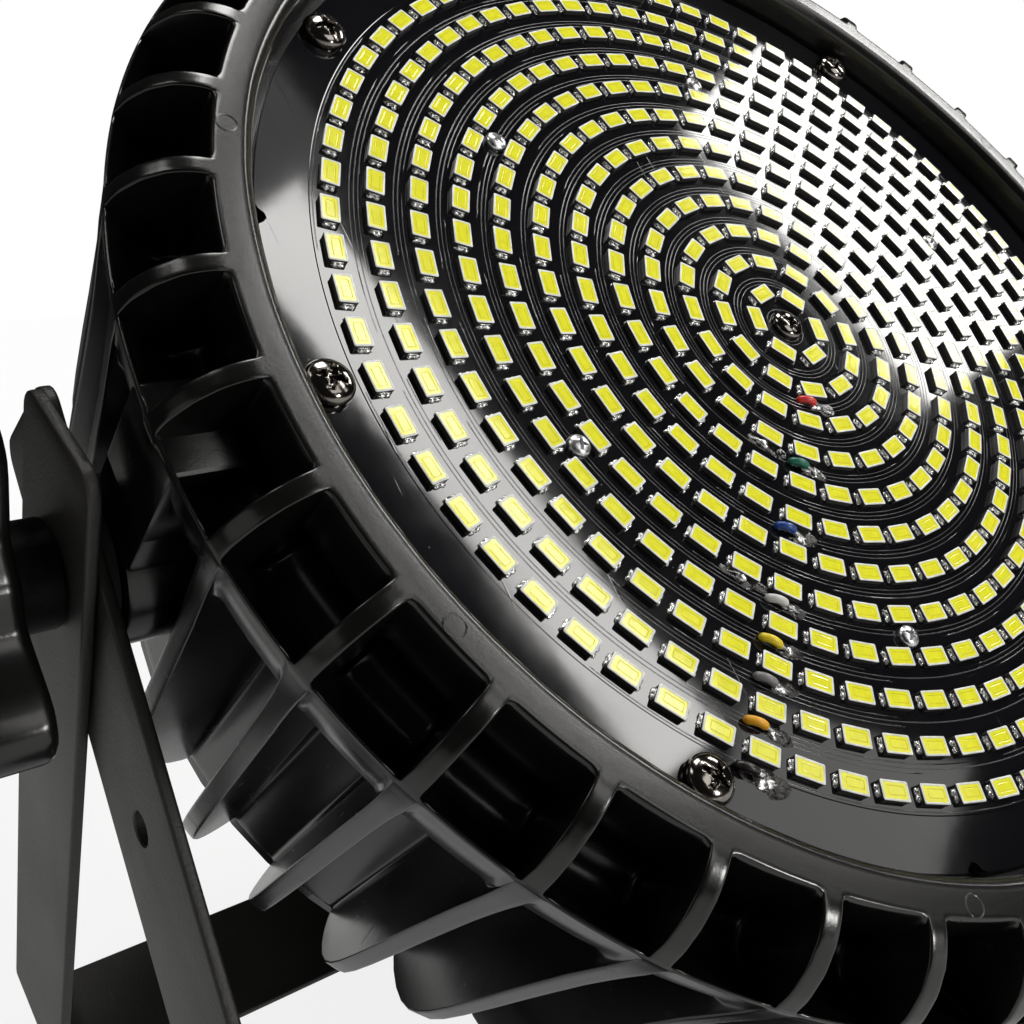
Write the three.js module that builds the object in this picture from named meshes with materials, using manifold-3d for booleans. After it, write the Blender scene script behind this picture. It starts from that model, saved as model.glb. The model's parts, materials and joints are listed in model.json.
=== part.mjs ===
// Round LED strobe light: a finned can with a glossy lamp board, two nested U brackets and hand knobs.
// Millimetres, +Z up, the light faces -Y and the tilt axis runs along X.
// The head's own frame has its origin at the centre of the lamps' front, x along the tilt axis,
// y to the head's top and z out of the front. An angle there is counted from x towards y.
import * as THREE from 'three';
import { mergeVertices } from 'three/addons/utils/BufferGeometryUtils.js';
import Module from 'manifold-3d';

const wasm = await Module();
wasm.setup();

const DEGREE = Math.PI / 180;
const FULL_TURN = 2 * Math.PI;

// Shared fits and working sizes
const seatGap = 0.25;        // between a piece and what carries it
const slideGap = 0.3;        // around a piece that slides or turns
const overrun = 2;           // how far a cutter runs past the wall it cuts
const bite = 0.8;            // how far a joined feature sinks into its wall
const flatness = 1e-3;       // faces out of line by less than this are one flat face
const weld = 1e-4;           // corners nearer than this are one corner

// Front ring of the can
const ringOuterRadius = 103.4;
const ringWidth = 6.9;
const ringHeight = 5.3;
const ringLipBevel = 1.4;
const ringUndercut = 1.8;
const ringEdge = 0.5;
const ringOverhang = 0.6;    // of the ring past the wall of the pockets
const ringWall = 2.6;
const ringSides = 80;
const shelfWidth = 10.1;
const shelfThickness = 4;
const ringLipRadius = ringOuterRadius - ringWidth;
const pocketWallRadius = ringOuterRadius - ringOverhang;
const shelfInnerRadius = ringLipRadius - shelfWidth;

// Lamp board
const boardRimGap = 1.5;     // between the board and the ring's lip
const boardThickness = 1.6;
const boardSides = 56;
const lampRimInset = 11;     // from the board's rim to the last ring of lamps
const lampRings = 12;
const lampsPerStep = 6;      // lamps that each further ring gains
const lampStart = -15 * DEGREE;
const lampLength = 5.4;
const lampWidth = 3;
const lampHeight = 1;
const boardRadius = ringLipRadius - boardRimGap;
const boardTop = -lampHeight;
const boardBottom = boardTop - boardThickness;
const lampPitch = (boardRadius - lampRimInset) / lampRings;

// Ridge, ribs and pockets in front of it
const ribCount = 40;
const ribThickness = 2;
const ridgeReach = 11;       // of the ridge past the front ring
const ridgeHeight = -5;
const ridgeLand = 1.3;
const ridgeInset = 0.3;      // ribs and fins end this far inside the ridge and the ring
const pocketFloorStart = -9;
const pocketFloorSwing = -20;
const pocketCurveSteps = 3;
const ribCurveSteps = 4;
const flangeCurveSteps = 2;
const ridgeRadius = ringOuterRadius + ridgeReach;

// Barrel and cooling fins behind the ridge
const barrelInset = 23.9;    // insets here are counted inwards from the ridge
const barrelWall = 2.5;
const barrelFront = -40;
const barrelRear = -103;
const flangeSwingInset = 10.4;
const flangeSwingHeight = -22;
const finThickness = 3.2;
const finWaistInset = 3;
const finWaistHeight = -36;
const finEndInset = 5.9;
const finEndHeight = -73;
const finRearHeight = -102.4;
const finSwingInset = 8.4;
const finSwingHeight = -90;
const finCurveSteps = 3;
const barrelRadius = ridgeRadius - barrelInset;
const flangeSwingRadius = ridgeRadius - flangeSwingInset;

// Tilt axis, its bosses and the clamp parts on it
const pivotHeight = -40.6;
const bossRadius = 12.5;
const bossInset = 0.1;       // of the boss's face from the ridge
const padInset = 0.2;        // of the pad's face from the boss's
const padHalfWidth = 7.1;
const padRear = -44.2;
const nutRadius = 6;
const nutLength = 13;
const nutSides = 16;
const studRadius = 3.9;
const studFloorGap = 1;
const washerOuterRadius = 11;
const washerThickness = 1.7;
const roundSides = 20;
const bossFace = ridgeRadius - bossInset;
const padFace = bossFace - padInset;

// Brackets: two U-bent straps that share the tilt axis
const strapWidth = 25;
const strapThickness = 1.9;
const strapGap = 0.3;
const swingClearance = 0.6;  // between the turning head and the inner crossbar
const outerBendRadius = 11;
const strapTopReach = 24;
const strapCorner = 4;
const strapPivotHole = 4.6;
const bendSteps = 4;
const outerLean = 28.8 * DEGREE;
const headTilt = 37.6 * DEGREE;
const crossbarHoleRadius = 5.25;
const crossbarSideHoleRadius = 3.25;
const crossbarSideHolePlace = 38;
const armHoleRadius = 2.5;
const armHoleDrop = 37.7;
const strapPair = 2 * strapThickness + strapGap;
const headSwing = Math.hypot(ridgeRadius, ridgeHeight - pivotHeight);
const outerArmFace = bossFace + washerThickness + 2 * seatGap + strapPair;
const outerReach = headSwing + swingClearance + strapPair;

// Hand knobs with three wings
const knobHubRadius = 8;
const knobHubLength = 6.2;
const knobWingDepth = 12;
const knobWingReach = 26.5;
const knobWingHalf = 5.2;
const knobWings = 3;
const knobCoreRadius = 11;
const knobCapDepth = 1.6;
const knobCapRadius = 8.5;
const knobTipSteps = 4;

// Screws
const edgeScrewCount = 8;
const edgeScrewInset = 3.5;    // from the board's rim
const edgeScrewHead = 3.6;
const edgeScrewHeadHeight = 2.5;
const edgeScrewShank = 1.5;
const edgeScrewLength = 5.4;
const innerScrewCount = 6;
const innerScrewPlace = 8.5;   // in pitches of the lamp rings
const innerScrewStart = 15 * DEGREE;
const innerScrewHead = 1.9;
const innerScrewHeadHeight = 1.4;
const innerScrewShank = 1.1;
const innerScrewLength = 5;
const centreScrewHead = 2.6;
const screwSides = 8;
const edgeScrewCircle = boardRadius - edgeScrewInset;
const innerScrewCircle = innerScrewPlace * lampPitch;
const screwRimShare = 0.45;    // share of the head's height that stands straight
const screwCrownShare = 0.55;  // share of the head's radius that is flat on top

// Heat spreader and driver board inside
const spreaderInset = 4;       // from the barrel's inner wall
const spreaderThickness = 3;
const spreaderHoleGap = 0.4;
const postRadius = 3;
const postLength = 14;
const driverLength = 104;
const driverWidth = 72;
const driverThickness = 1.6;
const driverPostInset = 7;
const chokeRadius = 11;
const chokeHeight = 12;
const capacitorRadius = 6.5;
const capacitorHeight = 16;
const capacitorPitch = 18;
const transistorWidth = 10;
const transistorHeight = 14;
const transistorDepth = 4.5;
const transistorPitch = 22;

// Rear cover with its panel
const coverInset = 0.3;        // of the cover from the barrel's outer wall
const coverThickness = 3;
const coverScrewCount = 4;
const coverScrewInset = 8.7;
const coverScrewStart = 45 * DEGREE;
const coverBossRadius = 4.6;
const coverBossLength = 17;
const coverScrewHead = 3.1;
const coverScrewHeadHeight = 2.1;
const coverScrewLength = 12;
const ventSlotLength = 34;
const ventSlotWidth = 3;
const ventSlotPitch = 7;
const ventSlotCount = 5;
const ventInset = 38.2;
const coverRadius = barrelRadius - coverInset;
const coverScrewCircle = coverRadius - coverScrewInset;
const ventPlace = coverRadius - ventInset;

// Power supply
const supplyLengthInset = 80;  // of its length from the barrel's inner diameter
const supplyWidthInset = 120;
const supplyHeight = 30;
const supplyPlace = -17;
const supplyFlange = 6;
const supplyFlangeThickness = 2;
const barrelInner = barrelRadius - barrelWall;
const supplyLength = 2 * barrelInner - supplyLengthInset;
const supplyWidth = 2 * barrelInner - supplyWidthInset;
const spreaderRadius = barrelInner - spreaderInset;

// Display, buttons and their control board
const displayLength = 42;
const displayWidth = 17;
const displayThickness = 3.4;
const displayPlace = 44;
const buttonNames = ['menu', 'down', 'up', 'enter'];
const buttonPitch = 14;
const buttonPlace = 25;
const buttonRadius = 3.6;
const buttonProud = 1.8;
const buttonFlange = 4.6;
const buttonFlangeThickness = 1;
const buttonTravel = 0.6;
const switchSize = 6;
const switchHeight = 2.2;
const controlLength = 70;
const controlWidth = 44;
const controlThickness = 1.6;
const controlPostRadius = 2.5;

// Data sockets
const dataPlaceX = 30;
const dataPlaceY = -20;
const dataFlangeX = 26;
const dataFlangeY = 31;
const dataFlangeThickness = 2;
const dataBodyRadius = 11.8;
const dataBodyDepth = 17;
const dataCavityRadius = 9.2;
const dataCavityDepth = 13;
const dataPinRadius = 1.1;
const dataPinCircle = 5.2;
const dataPinCount = 3;
const dataPinLength = 9;
const dataInsertGap = 1.1;
const dataInsertRecess = 1.5;
const latchX = 7;
const latchY = 3.6;
const latchProud = 1.4;
const latchTravel = 1;
const latchEdgeInset = 1.2;

// Mains inlet, fuse holder and sound sensor
const inletPlaceY = -52;
const inletFlangeX = 44;
const inletFlangeY = 24;
const inletFlangeThickness = 2;
const inletBodyX = 28;
const inletBodyY = 20;
const inletBodyDepth = 19;
const inletWellX = 24;
const inletWellY = 16.4;
const inletWellDepth = 14;
const inletPinX = 2;
const inletPinY = 4;
const inletPinLength = 9;
const inletPinSpread = 7;
const inletPinRise = 2.2;
const fusePlaceX = -34;
const fusePlaceY = -54;
const fuseBodyRadius = 6.2;
const fuseBodyDepth = 24;
const fuseFlangeRadius = 8.2;
const fuseFlangeThickness = 2.2;
const fuseCapRadius = 5.6;
const fuseCapProud = 7;
const fuseCapDepth = 6;
const fuseStemRadius = 4.1;
const fuseBoreGap = 0.3;
const fuseSlotWidth = 1.6;
const fuseSlotDepth = 1.4;
const micPlaceX = 34;
const micPlaceY = -54;
const micRadius = 3;
const micFlangeRadius = 4.6;
const micFlangeThickness = 1;
const micDepth = 6;

// Materials
const paint = (color, roughness, metalness = 0) =>
  new THREE.MeshStandardMaterial({ color, roughness, metalness });
const blackPlastic = paint(0x1d1e20, 0.5);
const glossBoard = paint(0x0b0c0e, 0.12);
const blackChrome = paint(0x2c2b2a, 0.15, 1);
const brightSteel = paint(0xb9bbbd, 0.3, 1);
const brass = paint(0xb08d4a, 0.35, 1);
const rubber = paint(0x141414, 0.85);
const bracketPaint = paint(0x33332f, 0.55, 0.2);
const aluminium = paint(0xa9adb0, 0.4, 1);
const greenBoard = paint(0x1f4a2c, 0.5);
const caseSteel = paint(0x8e9296, 0.35, 1);
const redLens = paint(0x3a0a0c, 0.2);
const keyGrey = paint(0x6f7276, 0.5);

// Turn a closed geometry into a solid for joining and cutting
function solidOf(geometry) {
  const bare = geometry.clone();
  bare.deleteAttribute('normal');
  bare.deleteAttribute('uv');
  const merged = mergeVertices(bare, weld);
  const vertProperties = new Float32Array(merged.attributes.position.array);
  const triVerts = new Uint32Array(merged.index.array);
  if (signedVolume(vertProperties, triVerts) < 0) {
    triVerts.reverse();
  }
  return new wasm.Manifold(
    new wasm.Mesh({ numProp: 3, vertProperties, triVerts }),
  ).setTolerance(flatness);
}

function signedVolume(points, triangles) {
  let volume = 0;
  const a = new THREE.Vector3();
  const b = new THREE.Vector3();
  const c = new THREE.Vector3();
  for (let i = 0; i < triangles.length; i += 3) {
    a.fromArray(points, 3 * triangles[i]);
    b.fromArray(points, 3 * triangles[i + 1]);
    c.fromArray(points, 3 * triangles[i + 2]);
    volume += a.dot(b.cross(c));
  }
  return volume;
}

function geometryOf(solid) {
  const mesh = solid.getMesh();
  const geometry = new THREE.BufferGeometry();
  geometry.setAttribute('position', new THREE.BufferAttribute(mesh.vertProperties, 3));
  geometry.setIndex(new THREE.BufferAttribute(mesh.triVerts, 1));
  const flat = geometry.toNonIndexed();
  flat.computeVertexNormals();
  return flat;
}

const joined = (solids) => solids.reduce((all, next) => all.add(next));

// Basic solids in the head's frame
function turned(profile, sides) {
  const points = profile.map(([r, h]) => new THREE.Vector2(r, h));
  points.push(points[0].clone());
  const geometry = new THREE.LatheGeometry(points, sides);
  geometry.rotateX(Math.PI / 2);
  return solidOf(geometry);
}

function rod(radius, from, to, sides = roundSides) {
  const geometry = new THREE.CylinderGeometry(radius, radius, to - from, sides);
  geometry.rotateX(Math.PI / 2);
  geometry.translate(0, 0, (from + to) / 2);
  return solidOf(geometry);
}

function rodAlongX(radius, from, to, sides = roundSides) {
  const geometry = new THREE.CylinderGeometry(radius, radius, to - from, sides);
  geometry.rotateZ(Math.PI / 2);
  geometry.translate((from + to) / 2, 0, 0);
  return solidOf(geometry);
}

function block(x0, x1, y0, y1, z0, z1) {
  const geometry = new THREE.BoxGeometry(x1 - x0, y1 - y0, z1 - z0);
  geometry.translate((x0 + x1) / 2, (y0 + y1) / 2, (z0 + z1) / 2);
  return solidOf(geometry);
}

function centredBlock(sizeX, sizeY, z0, z1) {
  return block(-sizeX / 2, sizeX / 2, -sizeY / 2, sizeY / 2, z0, z1);
}

// A flat plate that stands on the head's axis: its outline is in radius and height
function radialPlate(outline, thickness) {
  const shape = new THREE.Shape(outline.map(([r, h]) => new THREE.Vector2(r, h)));
  const geometry = new THREE.ExtrudeGeometry(shape, { depth: thickness, bevelEnabled: false });
  geometry.translate(0, 0, -thickness / 2);
  geometry.rotateX(Math.PI / 2);
  return solidOf(geometry);
}

const turnedBy = (solid, angle) => solid.rotate([0, 0, angle / DEGREE]);

function placedOnCircle(solid, radius, angle) {
  return solid.translate([radius * Math.cos(angle), radius * Math.sin(angle), 0]);
}

const curvePoints = (from, swing, to, steps) =>
  new THREE.QuadraticBezierCurve(
    new THREE.Vector2(...from),
    new THREE.Vector2(...swing),
    new THREE.Vector2(...to),
  ).getPoints(steps).map((point) => [point.x, point.y]);

// Groups: the head turns on the tilt axis, the brackets hang on the same axis
const strobeLight = new THREE.Group();
const onTiltAxis = new THREE.Group();
strobeLight.add(onTiltAxis);
const head = new THREE.Group();
head.rotation.x = Math.PI / 2 - headTilt;
onTiltAxis.add(head);
const headPieces = new THREE.Group();
headPieces.position.z = -pivotHeight;
head.add(headPieces);

function piece(name, solid, material, parent = headPieces) {
  const mesh = new THREE.Mesh(geometryOf(solid), material);
  mesh.name = name;
  parent.add(mesh);
  return mesh;
}

// Can: front ring, pockets, ridge and barrel as one turned wall
const shelfTop = boardBottom - seatGap;
const shelfUnder = shelfTop - shelfThickness;
const ringInner = pocketWallRadius - ringWall;
const ringHollowEnd = pocketFloorStart + (pocketFloorSwing - pocketFloorStart) / 2;
const pocketFloor = curvePoints(
  [pocketWallRadius, pocketFloorStart],
  [pocketWallRadius + ringWall / 2, pocketFloorSwing],
  [ridgeRadius, ridgeHeight],
  pocketCurveSteps,
);
const flangeBack = curvePoints(
  [ridgeRadius, ridgeHeight - ridgeLand],
  [flangeSwingRadius, flangeSwingHeight],
  [barrelRadius, barrelFront],
  flangeCurveSteps,
);

function canBody() {
  return turned([
    [0, ringHeight - ringLipBevel],
    [pocketWallRadius, ringHeight - ringLipBevel],
    ...pocketFloor,
    ...flangeBack,
    [barrelRadius, barrelRear],
    [0, barrelRear],
  ], ribCount);
}

function frontRing() {
  return turned([
    [ringLipRadius, ringHeight - ringLipBevel],
    [ringLipRadius + ringLipBevel, ringHeight],
    [ringOuterRadius - ringEdge, ringHeight],
    [ringOuterRadius, ringHeight - ringEdge],
    [ringOuterRadius, ringHeight - ringUndercut],
    [ringLipRadius, ringHeight - ringUndercut],
  ], ringSides);
}

function canCavity() {
  const cavity = turned([
    [0, barrelRear - overrun],
    [barrelInner, barrelRear - overrun],
    [barrelInner, barrelFront],
    [ringInner, ringHollowEnd],
    [ringInner, shelfUnder],
    [0, shelfUnder],
  ], ribCount);
  const shelfOpening = rod(shelfInnerRadius, shelfUnder - bite, shelfTop + bite, ribCount);
  const boardRecess = rod(ringLipRadius, shelfTop, ringHeight, ringSides);
  return joined([cavity, shelfOpening, boardRecess]);
}

// Rib: a quarter ellipse from the ring's edge out to the ridge
function rib() {
  const crest = [];
  for (let i = 0; i <= ribCurveSteps; i += 1) {
    const turn = Math.PI / 2 * (1 - i / ribCurveSteps);
    crest.push([
      ringOuterRadius + (ridgeRadius - ridgeInset - ringOuterRadius) * Math.cos(turn),
      ridgeHeight + (ringHeight - ridgeHeight - ringEdge - ridgeInset) * Math.sin(turn),
    ]);
  }
  return radialPlate([
    ...crest,
    [ridgeRadius - ridgeInset, ridgeHeight - ridgeLand / 2],
    [pocketWallRadius + ringWall, pocketFloorSwing + ringWall],
    [pocketWallRadius - bite, pocketFloorStart],
    [pocketWallRadius - bite, ringHeight - ringEdge - ridgeInset],
    [ringOuterRadius - ringEdge, ringHeight - ringEdge - ridgeInset],
  ], ribThickness);
}

// Fin: from the ridge to the barrel's rear edge, with a rounded rear corner
function fin() {
  const corner = curvePoints(
    [ridgeRadius - finEndInset, finEndHeight],
    [ridgeRadius - finSwingInset, finSwingHeight],
    [barrelRadius - bite, finRearHeight],
    finCurveSteps,
  );
  return radialPlate([
    [barrelRadius - bite, barrelFront],
    [pocketWallRadius, flangeSwingHeight],
    [ridgeRadius - ridgeInset, ridgeHeight - ridgeLand / 2],
    [ridgeRadius - ridgeInset, ridgeHeight - ridgeLand],
    [ridgeRadius - finWaistInset, finWaistHeight],
    ...corner,
  ], finThickness);
}

// Tilt boss with its pad, on the side of the head that faces the bracket's arm
function tiltBoss() {
  const boss = rodAlongX(bossRadius, barrelRadius - bite, bossFace).translate([0, 0, pivotHeight]);
  const pad = block(
    barrelRadius - bite, padFace, -padHalfWidth, padHalfWidth, padRear, flangeSwingHeight,
  );
  const brow = block(
    flangeSwingRadius, padFace, -padHalfWidth,
    padHalfWidth, flangeSwingHeight - bite, ridgeHeight - ridgeLand / 2,
  );
  return joined([boss, pad, brow]);
}

function headShell() {
  let shell = canBody().subtract(canCavity()).add(frontRing());
  for (let i = 0; i < ribCount; i += 1) {
    const angle = i * FULL_TURN / ribCount;
    shell = shell.add(turnedBy(rib(), angle));
    if (i % (ribCount / 2) !== 0) {
      shell = shell.add(turnedBy(fin(), angle));
    }
  }
  const nutHole = rodAlongX(
    nutRadius + seatGap, bossFace - nutLength - seatGap, bossFace + overrun, nutSides,
  )
    .translate([0, 0, pivotHeight]);
  for (const angle of [0, Math.PI]) {
    shell = shell.add(turnedBy(tiltBoss(), angle));
    shell = shell.subtract(turnedBy(nutHole, angle));
  }
  const edgeHole = rod(edgeScrewShank + seatGap, shelfUnder - overrun, shelfTop + overrun, screwSides);
  for (let i = 0; i < edgeScrewCount; i += 1) {
    shell = shell.subtract(placedOnCircle(edgeHole, edgeScrewCircle, i * FULL_TURN / edgeScrewCount));
  }
  const coverBoss = rod(coverBossRadius, barrelRear, barrelRear + coverBossLength, screwSides);
  const coverHole = rod(
    edgeScrewShank + seatGap, barrelRear - overrun, barrelRear + coverScrewLength, screwSides,
  );
  const bossBridge = block(
    0, barrelInner - coverScrewCircle + bite,
    -coverBossRadius / 2, coverBossRadius / 2,
    barrelRear, barrelRear + coverBossLength,
  );
  for (let i = 0; i < coverScrewCount; i += 1) {
    const angle = coverScrewStart + i * FULL_TURN / coverScrewCount;
    shell = shell.add(placedOnCircle(coverBoss, coverScrewCircle, angle));
    shell = shell.add(placedOnCircle(turnedBy(bossBridge, angle), coverScrewCircle, angle));
    shell = shell.subtract(placedOnCircle(coverHole, coverScrewCircle, angle));
  }
  return shell;
}

// Lamp board: rings of small lamps, each lamp with its long side along the ring
function lampPlaces() {
  const places = [];
  for (let ring = 1; ring <= lampRings; ring += 1) {
    const count = lampsPerStep * ring;
    for (let i = 0; i < count; i += 1) {
      places.push({ radius: lampPitch * ring, angle: lampStart + i * FULL_TURN / count });
    }
  }
  return places;
}

function lampBoard() {
  const lamp = block(-lampWidth / 2, lampWidth / 2, -lampLength / 2, lampLength / 2, boardTop - bite, 0);
  const lamps = lampPlaces().map((place) => turnedBy(lamp.translate([place.radius, 0, 0]), place.angle));
  const board = rod(boardRadius, boardBottom, boardTop, boardSides);
  let all = board.add(wasm.Manifold.union(lamps));
  const edgeHole = rod(edgeScrewShank + seatGap, boardBottom - overrun, overrun, screwSides);
  const innerHole = rod(innerScrewShank + seatGap, boardBottom - overrun, overrun, screwSides);
  for (let i = 0; i < edgeScrewCount; i += 1) {
    all = all.subtract(placedOnCircle(edgeHole, edgeScrewCircle, i * FULL_TURN / edgeScrewCount));
  }
  for (let i = 0; i < innerScrewCount; i += 1) {
    const angle = innerScrewStart + i * FULL_TURN / innerScrewCount;
    all = all.subtract(placedOnCircle(innerHole, innerScrewCircle, angle));
  }
  return all.subtract(innerHole);
}

// Round-headed screw along z: its head sits above the seat height, its shank below
function screw(seat, headRadius, headHeight, shankRadius, length) {
  const under = seat + seatGap;
  return turned([
    [0, under - length],
    [shankRadius, under - length],
    [shankRadius, under],
    [headRadius, under],
    [headRadius, under + headHeight * screwRimShare],
    [headRadius * screwCrownShare, under + headHeight],
    [0, under + headHeight],
  ], screwSides);
}

function placeScrews() {
  const edge = screw(boardTop, edgeScrewHead, edgeScrewHeadHeight, edgeScrewShank, edgeScrewLength);
  for (let i = 0; i < edgeScrewCount; i += 1) {
    const angle = i * FULL_TURN / edgeScrewCount;
    piece(`board_edge_screw_${i + 1}`, placedOnCircle(edge, edgeScrewCircle, angle), blackChrome);
  }
  const inner = screw(boardTop, innerScrewHead, innerScrewHeadHeight, innerScrewShank, innerScrewLength);
  for (let i = 0; i < innerScrewCount; i += 1) {
    const angle = innerScrewStart + i * FULL_TURN / innerScrewCount;
    piece(`board_inner_screw_${i + 1}`, placedOnCircle(inner, innerScrewCircle, angle), brightSteel);
  }
  const centre = screw(
    boardTop, centreScrewHead, innerScrewHeadHeight, innerScrewShank, innerScrewLength,
  );
  piece('board_centre_screw', centre, blackChrome);
}

// Heat spreader behind the lamp board, with the posts that carry the driver board
const spreaderTop = boardBottom - seatGap;
const spreaderUnder = spreaderTop - spreaderThickness;
const driverTop = spreaderUnder - postLength - seatGap;
const driverUnder = driverTop - driverThickness;
const driverPostX = driverLength / 2 - driverPostInset;
const driverPostY = driverWidth / 2 - driverPostInset;

function heatSpreader() {
  let plate = rod(spreaderRadius, spreaderUnder, spreaderTop, boardSides);
  const post = rod(postRadius, spreaderUnder - postLength, spreaderUnder + bite, screwSides);
  for (const x of [-driverPostX, driverPostX]) {
    for (const y of [-driverPostY, driverPostY]) {
      plate = plate.add(post.translate([x, y, 0]));
    }
  }
  const hole = rod(
    innerScrewShank + spreaderHoleGap, spreaderUnder - overrun, spreaderTop + overrun,
    screwSides,
  );
  for (let i = 0; i < innerScrewCount; i += 1) {
    const angle = innerScrewStart + i * FULL_TURN / innerScrewCount;
    plate = plate.subtract(placedOnCircle(hole, innerScrewCircle, angle));
  }
  return plate.subtract(hole);
}

function driverBoard() {
  let board = centredBlock(driverLength, driverWidth, driverUnder, driverTop);
  const choke = rod(chokeRadius, driverUnder - chokeHeight, driverUnder + bite, screwSides);
  board = board.add(choke.translate([-driverLength / 4, 0, 0]));
  const capacitor = rod(capacitorRadius, driverUnder - capacitorHeight, driverUnder + bite, screwSides);
  for (const side of [-1, 0, 1]) {
    board = board.add(capacitor.translate([driverLength / 8, side * capacitorPitch, 0]));
  }
  const transistor = centredBlock(
    transistorDepth, transistorWidth, driverUnder - transistorHeight, driverUnder + bite,
  );
  for (const side of [-1, 0, 1]) {
    board = board.add(transistor.translate([driverLength / 3, side * transistorPitch, 0]));
  }
  return board;
}

// Rear cover, seen from behind: its outer face carries the panel
const coverInner = barrelRear - seatGap;
const coverFace = coverInner - coverThickness;
const controlUnder = coverInner + buttonFlangeThickness + switchHeight + buttonTravel + 2 * slideGap;
const buttonX = (i) => (i - (buttonNames.length - 1) / 2) * buttonPitch;
const controlPlace = (displayPlace + buttonPlace) / 2;

function rearCover() {
  let cover = rod(coverRadius, coverFace, coverInner, boardSides);
  const through = [coverFace - overrun, coverInner + overrun];
  const display = centredBlock(displayLength + 2 * seatGap, displayWidth + 2 * seatGap, ...through);
  cover = cover.subtract(display.translate([0, displayPlace, 0]));
  const buttonHole = rod(buttonRadius + slideGap, ...through, screwSides);
  buttonNames.forEach((name, i) => {
    cover = cover.subtract(buttonHole.translate([buttonX(i), buttonPlace, 0]));
  });
  const dataHole = rod(dataBodyRadius + seatGap, ...through);
  for (const side of [-1, 1]) {
    cover = cover.subtract(dataHole.translate([side * dataPlaceX, dataPlaceY, 0]));
  }
  const inletHole = centredBlock(inletBodyX + 2 * seatGap, inletBodyY + 2 * seatGap, ...through);
  cover = cover.subtract(inletHole.translate([0, inletPlaceY, 0]));
  const fuseHole = rod(fuseBodyRadius + seatGap, ...through);
  cover = cover.subtract(fuseHole.translate([fusePlaceX, fusePlaceY, 0]));
  const micHole = rod(micRadius + seatGap, ...through, screwSides);
  cover = cover.subtract(micHole.translate([micPlaceX, micPlaceY, 0]));
  const slot = centredBlock(ventSlotWidth, ventSlotLength, ...through);
  for (const side of [-1, 1]) {
    for (let i = 0; i < ventSlotCount; i += 1) {
      const x = side * (ventPlace + (i - (ventSlotCount - 1) / 2) * ventSlotPitch);
      cover = cover.subtract(slot.translate([x, controlPlace - ventSlotLength / 2, 0]));
    }
  }
  const screwHole = rod(edgeScrewShank + seatGap, ...through, screwSides);
  for (let i = 0; i < coverScrewCount; i += 1) {
    const angle = coverScrewStart + i * FULL_TURN / coverScrewCount;
    cover = cover.subtract(placedOnCircle(screwHole, coverScrewCircle, angle));
  }
  const post = rod(controlPostRadius, coverInner - bite, controlUnder - seatGap, screwSides);
  for (const x of [-1, 1]) {
    for (const y of [-1, 1]) {
      const postX = x * (controlLength / 2 - controlPostRadius);
      const postY = controlPlace + y * (controlWidth / 2 - controlPostRadius);
      cover = cover.add(post.translate([postX, postY, 0]));
    }
  }
  return cover;
}

function controlBoard() {
  let board = centredBlock(controlLength, controlWidth, controlUnder, controlUnder + controlThickness)
    .translate([0, controlPlace, 0]);
  const key = centredBlock(switchSize, switchSize, controlUnder - switchHeight, controlUnder + bite);
  buttonNames.forEach((name, i) => {
    board = board.add(key.translate([buttonX(i), buttonPlace, 0]));
  });
  const digits = centredBlock(
    displayLength, displayWidth, coverFace + displayThickness, controlUnder + bite,
  );
  return board.add(digits.translate([0, displayPlace, 0]));
}

function button() {
  const cap = rod(buttonRadius, coverFace - buttonProud, coverInner + slideGap + bite, screwSides);
  const flange = rod(
    buttonFlange, coverInner + slideGap, coverInner + slideGap + buttonFlangeThickness,
    screwSides,
  );
  return cap.add(flange);
}

// Power supply: a steel case with two fixing flanges, flat on the cover's inner face
function powerSupply() {
  const floor = coverInner + seatGap + dataBodyDepth + slideGap;
  const box = centredBlock(supplyLength, supplyWidth, floor, floor + supplyHeight);
  const legs = [-1, 1].map((side) => {
    const wall = centredBlock(supplyFlangeThickness, supplyWidth / 2, coverInner + seatGap, floor + bite);
    const foot = centredBlock(supplyFlange, supplyWidth / 2, coverInner + seatGap,
      coverInner + seatGap + supplyFlangeThickness);
    const x = side * (supplyLength / 2 - supplyFlangeThickness / 2);
    const footX = side * (supplyLength / 2 + supplyFlange / 2 - supplyFlangeThickness);
    return wall.translate([x, 0, 0]).add(foot.translate([footX, 0, 0]));
  });
  return joined([box, ...legs]).translate([0, supplyPlace, 0]);
}

// Data sockets: the first has three pins in a round well, the second three holes in a round face
const dataOuter = coverFace - seatGap - dataFlangeThickness;

function dataBody() {
  const flange = centredBlock(dataFlangeX, dataFlangeY, dataOuter, dataOuter + dataFlangeThickness);
  return flange.add(rod(dataBodyRadius, dataOuter + bite, coverInner + dataBodyDepth));
}

function pinPlaces(solid) {
  const places = [];
  for (let i = 0; i < dataPinCount; i += 1) {
    places.push(placedOnCircle(solid, dataPinCircle, Math.PI / 2 + i * FULL_TURN / dataPinCount));
  }
  return places;
}

function dataInSocket() {
  const well = rod(dataCavityRadius, dataOuter - overrun, dataOuter + dataCavityDepth);
  const pin = rod(dataPinRadius, dataOuter + dataCavityDepth - dataPinLength,
    dataOuter + dataCavityDepth + bite, screwSides);
  return joined([dataBody().subtract(well), ...pinPlaces(pin)]);
}

function dataOutSocket() {
  const well = rod(dataCavityRadius, dataOuter - overrun, dataOuter + dataCavityDepth);
  const insert = rod(dataCavityRadius - dataInsertGap, dataOuter + dataInsertRecess,
    dataOuter + dataCavityDepth + bite);
  const hole = rod(dataPinRadius + seatGap, dataOuter - overrun, dataOuter + dataPinLength, screwSides);
  let body = dataBody().subtract(well).add(insert);
  pinPlaces(hole).forEach((cut) => {
    body = body.subtract(cut);
  });
  const latchSlot = centredBlock(latchX + 2 * slideGap, latchY + 2 * slideGap,
    dataOuter - overrun, dataOuter + dataFlangeThickness + bite);
  return body.subtract(latchSlot.translate([0, latchPlaceY(), 0]));
}

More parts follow.
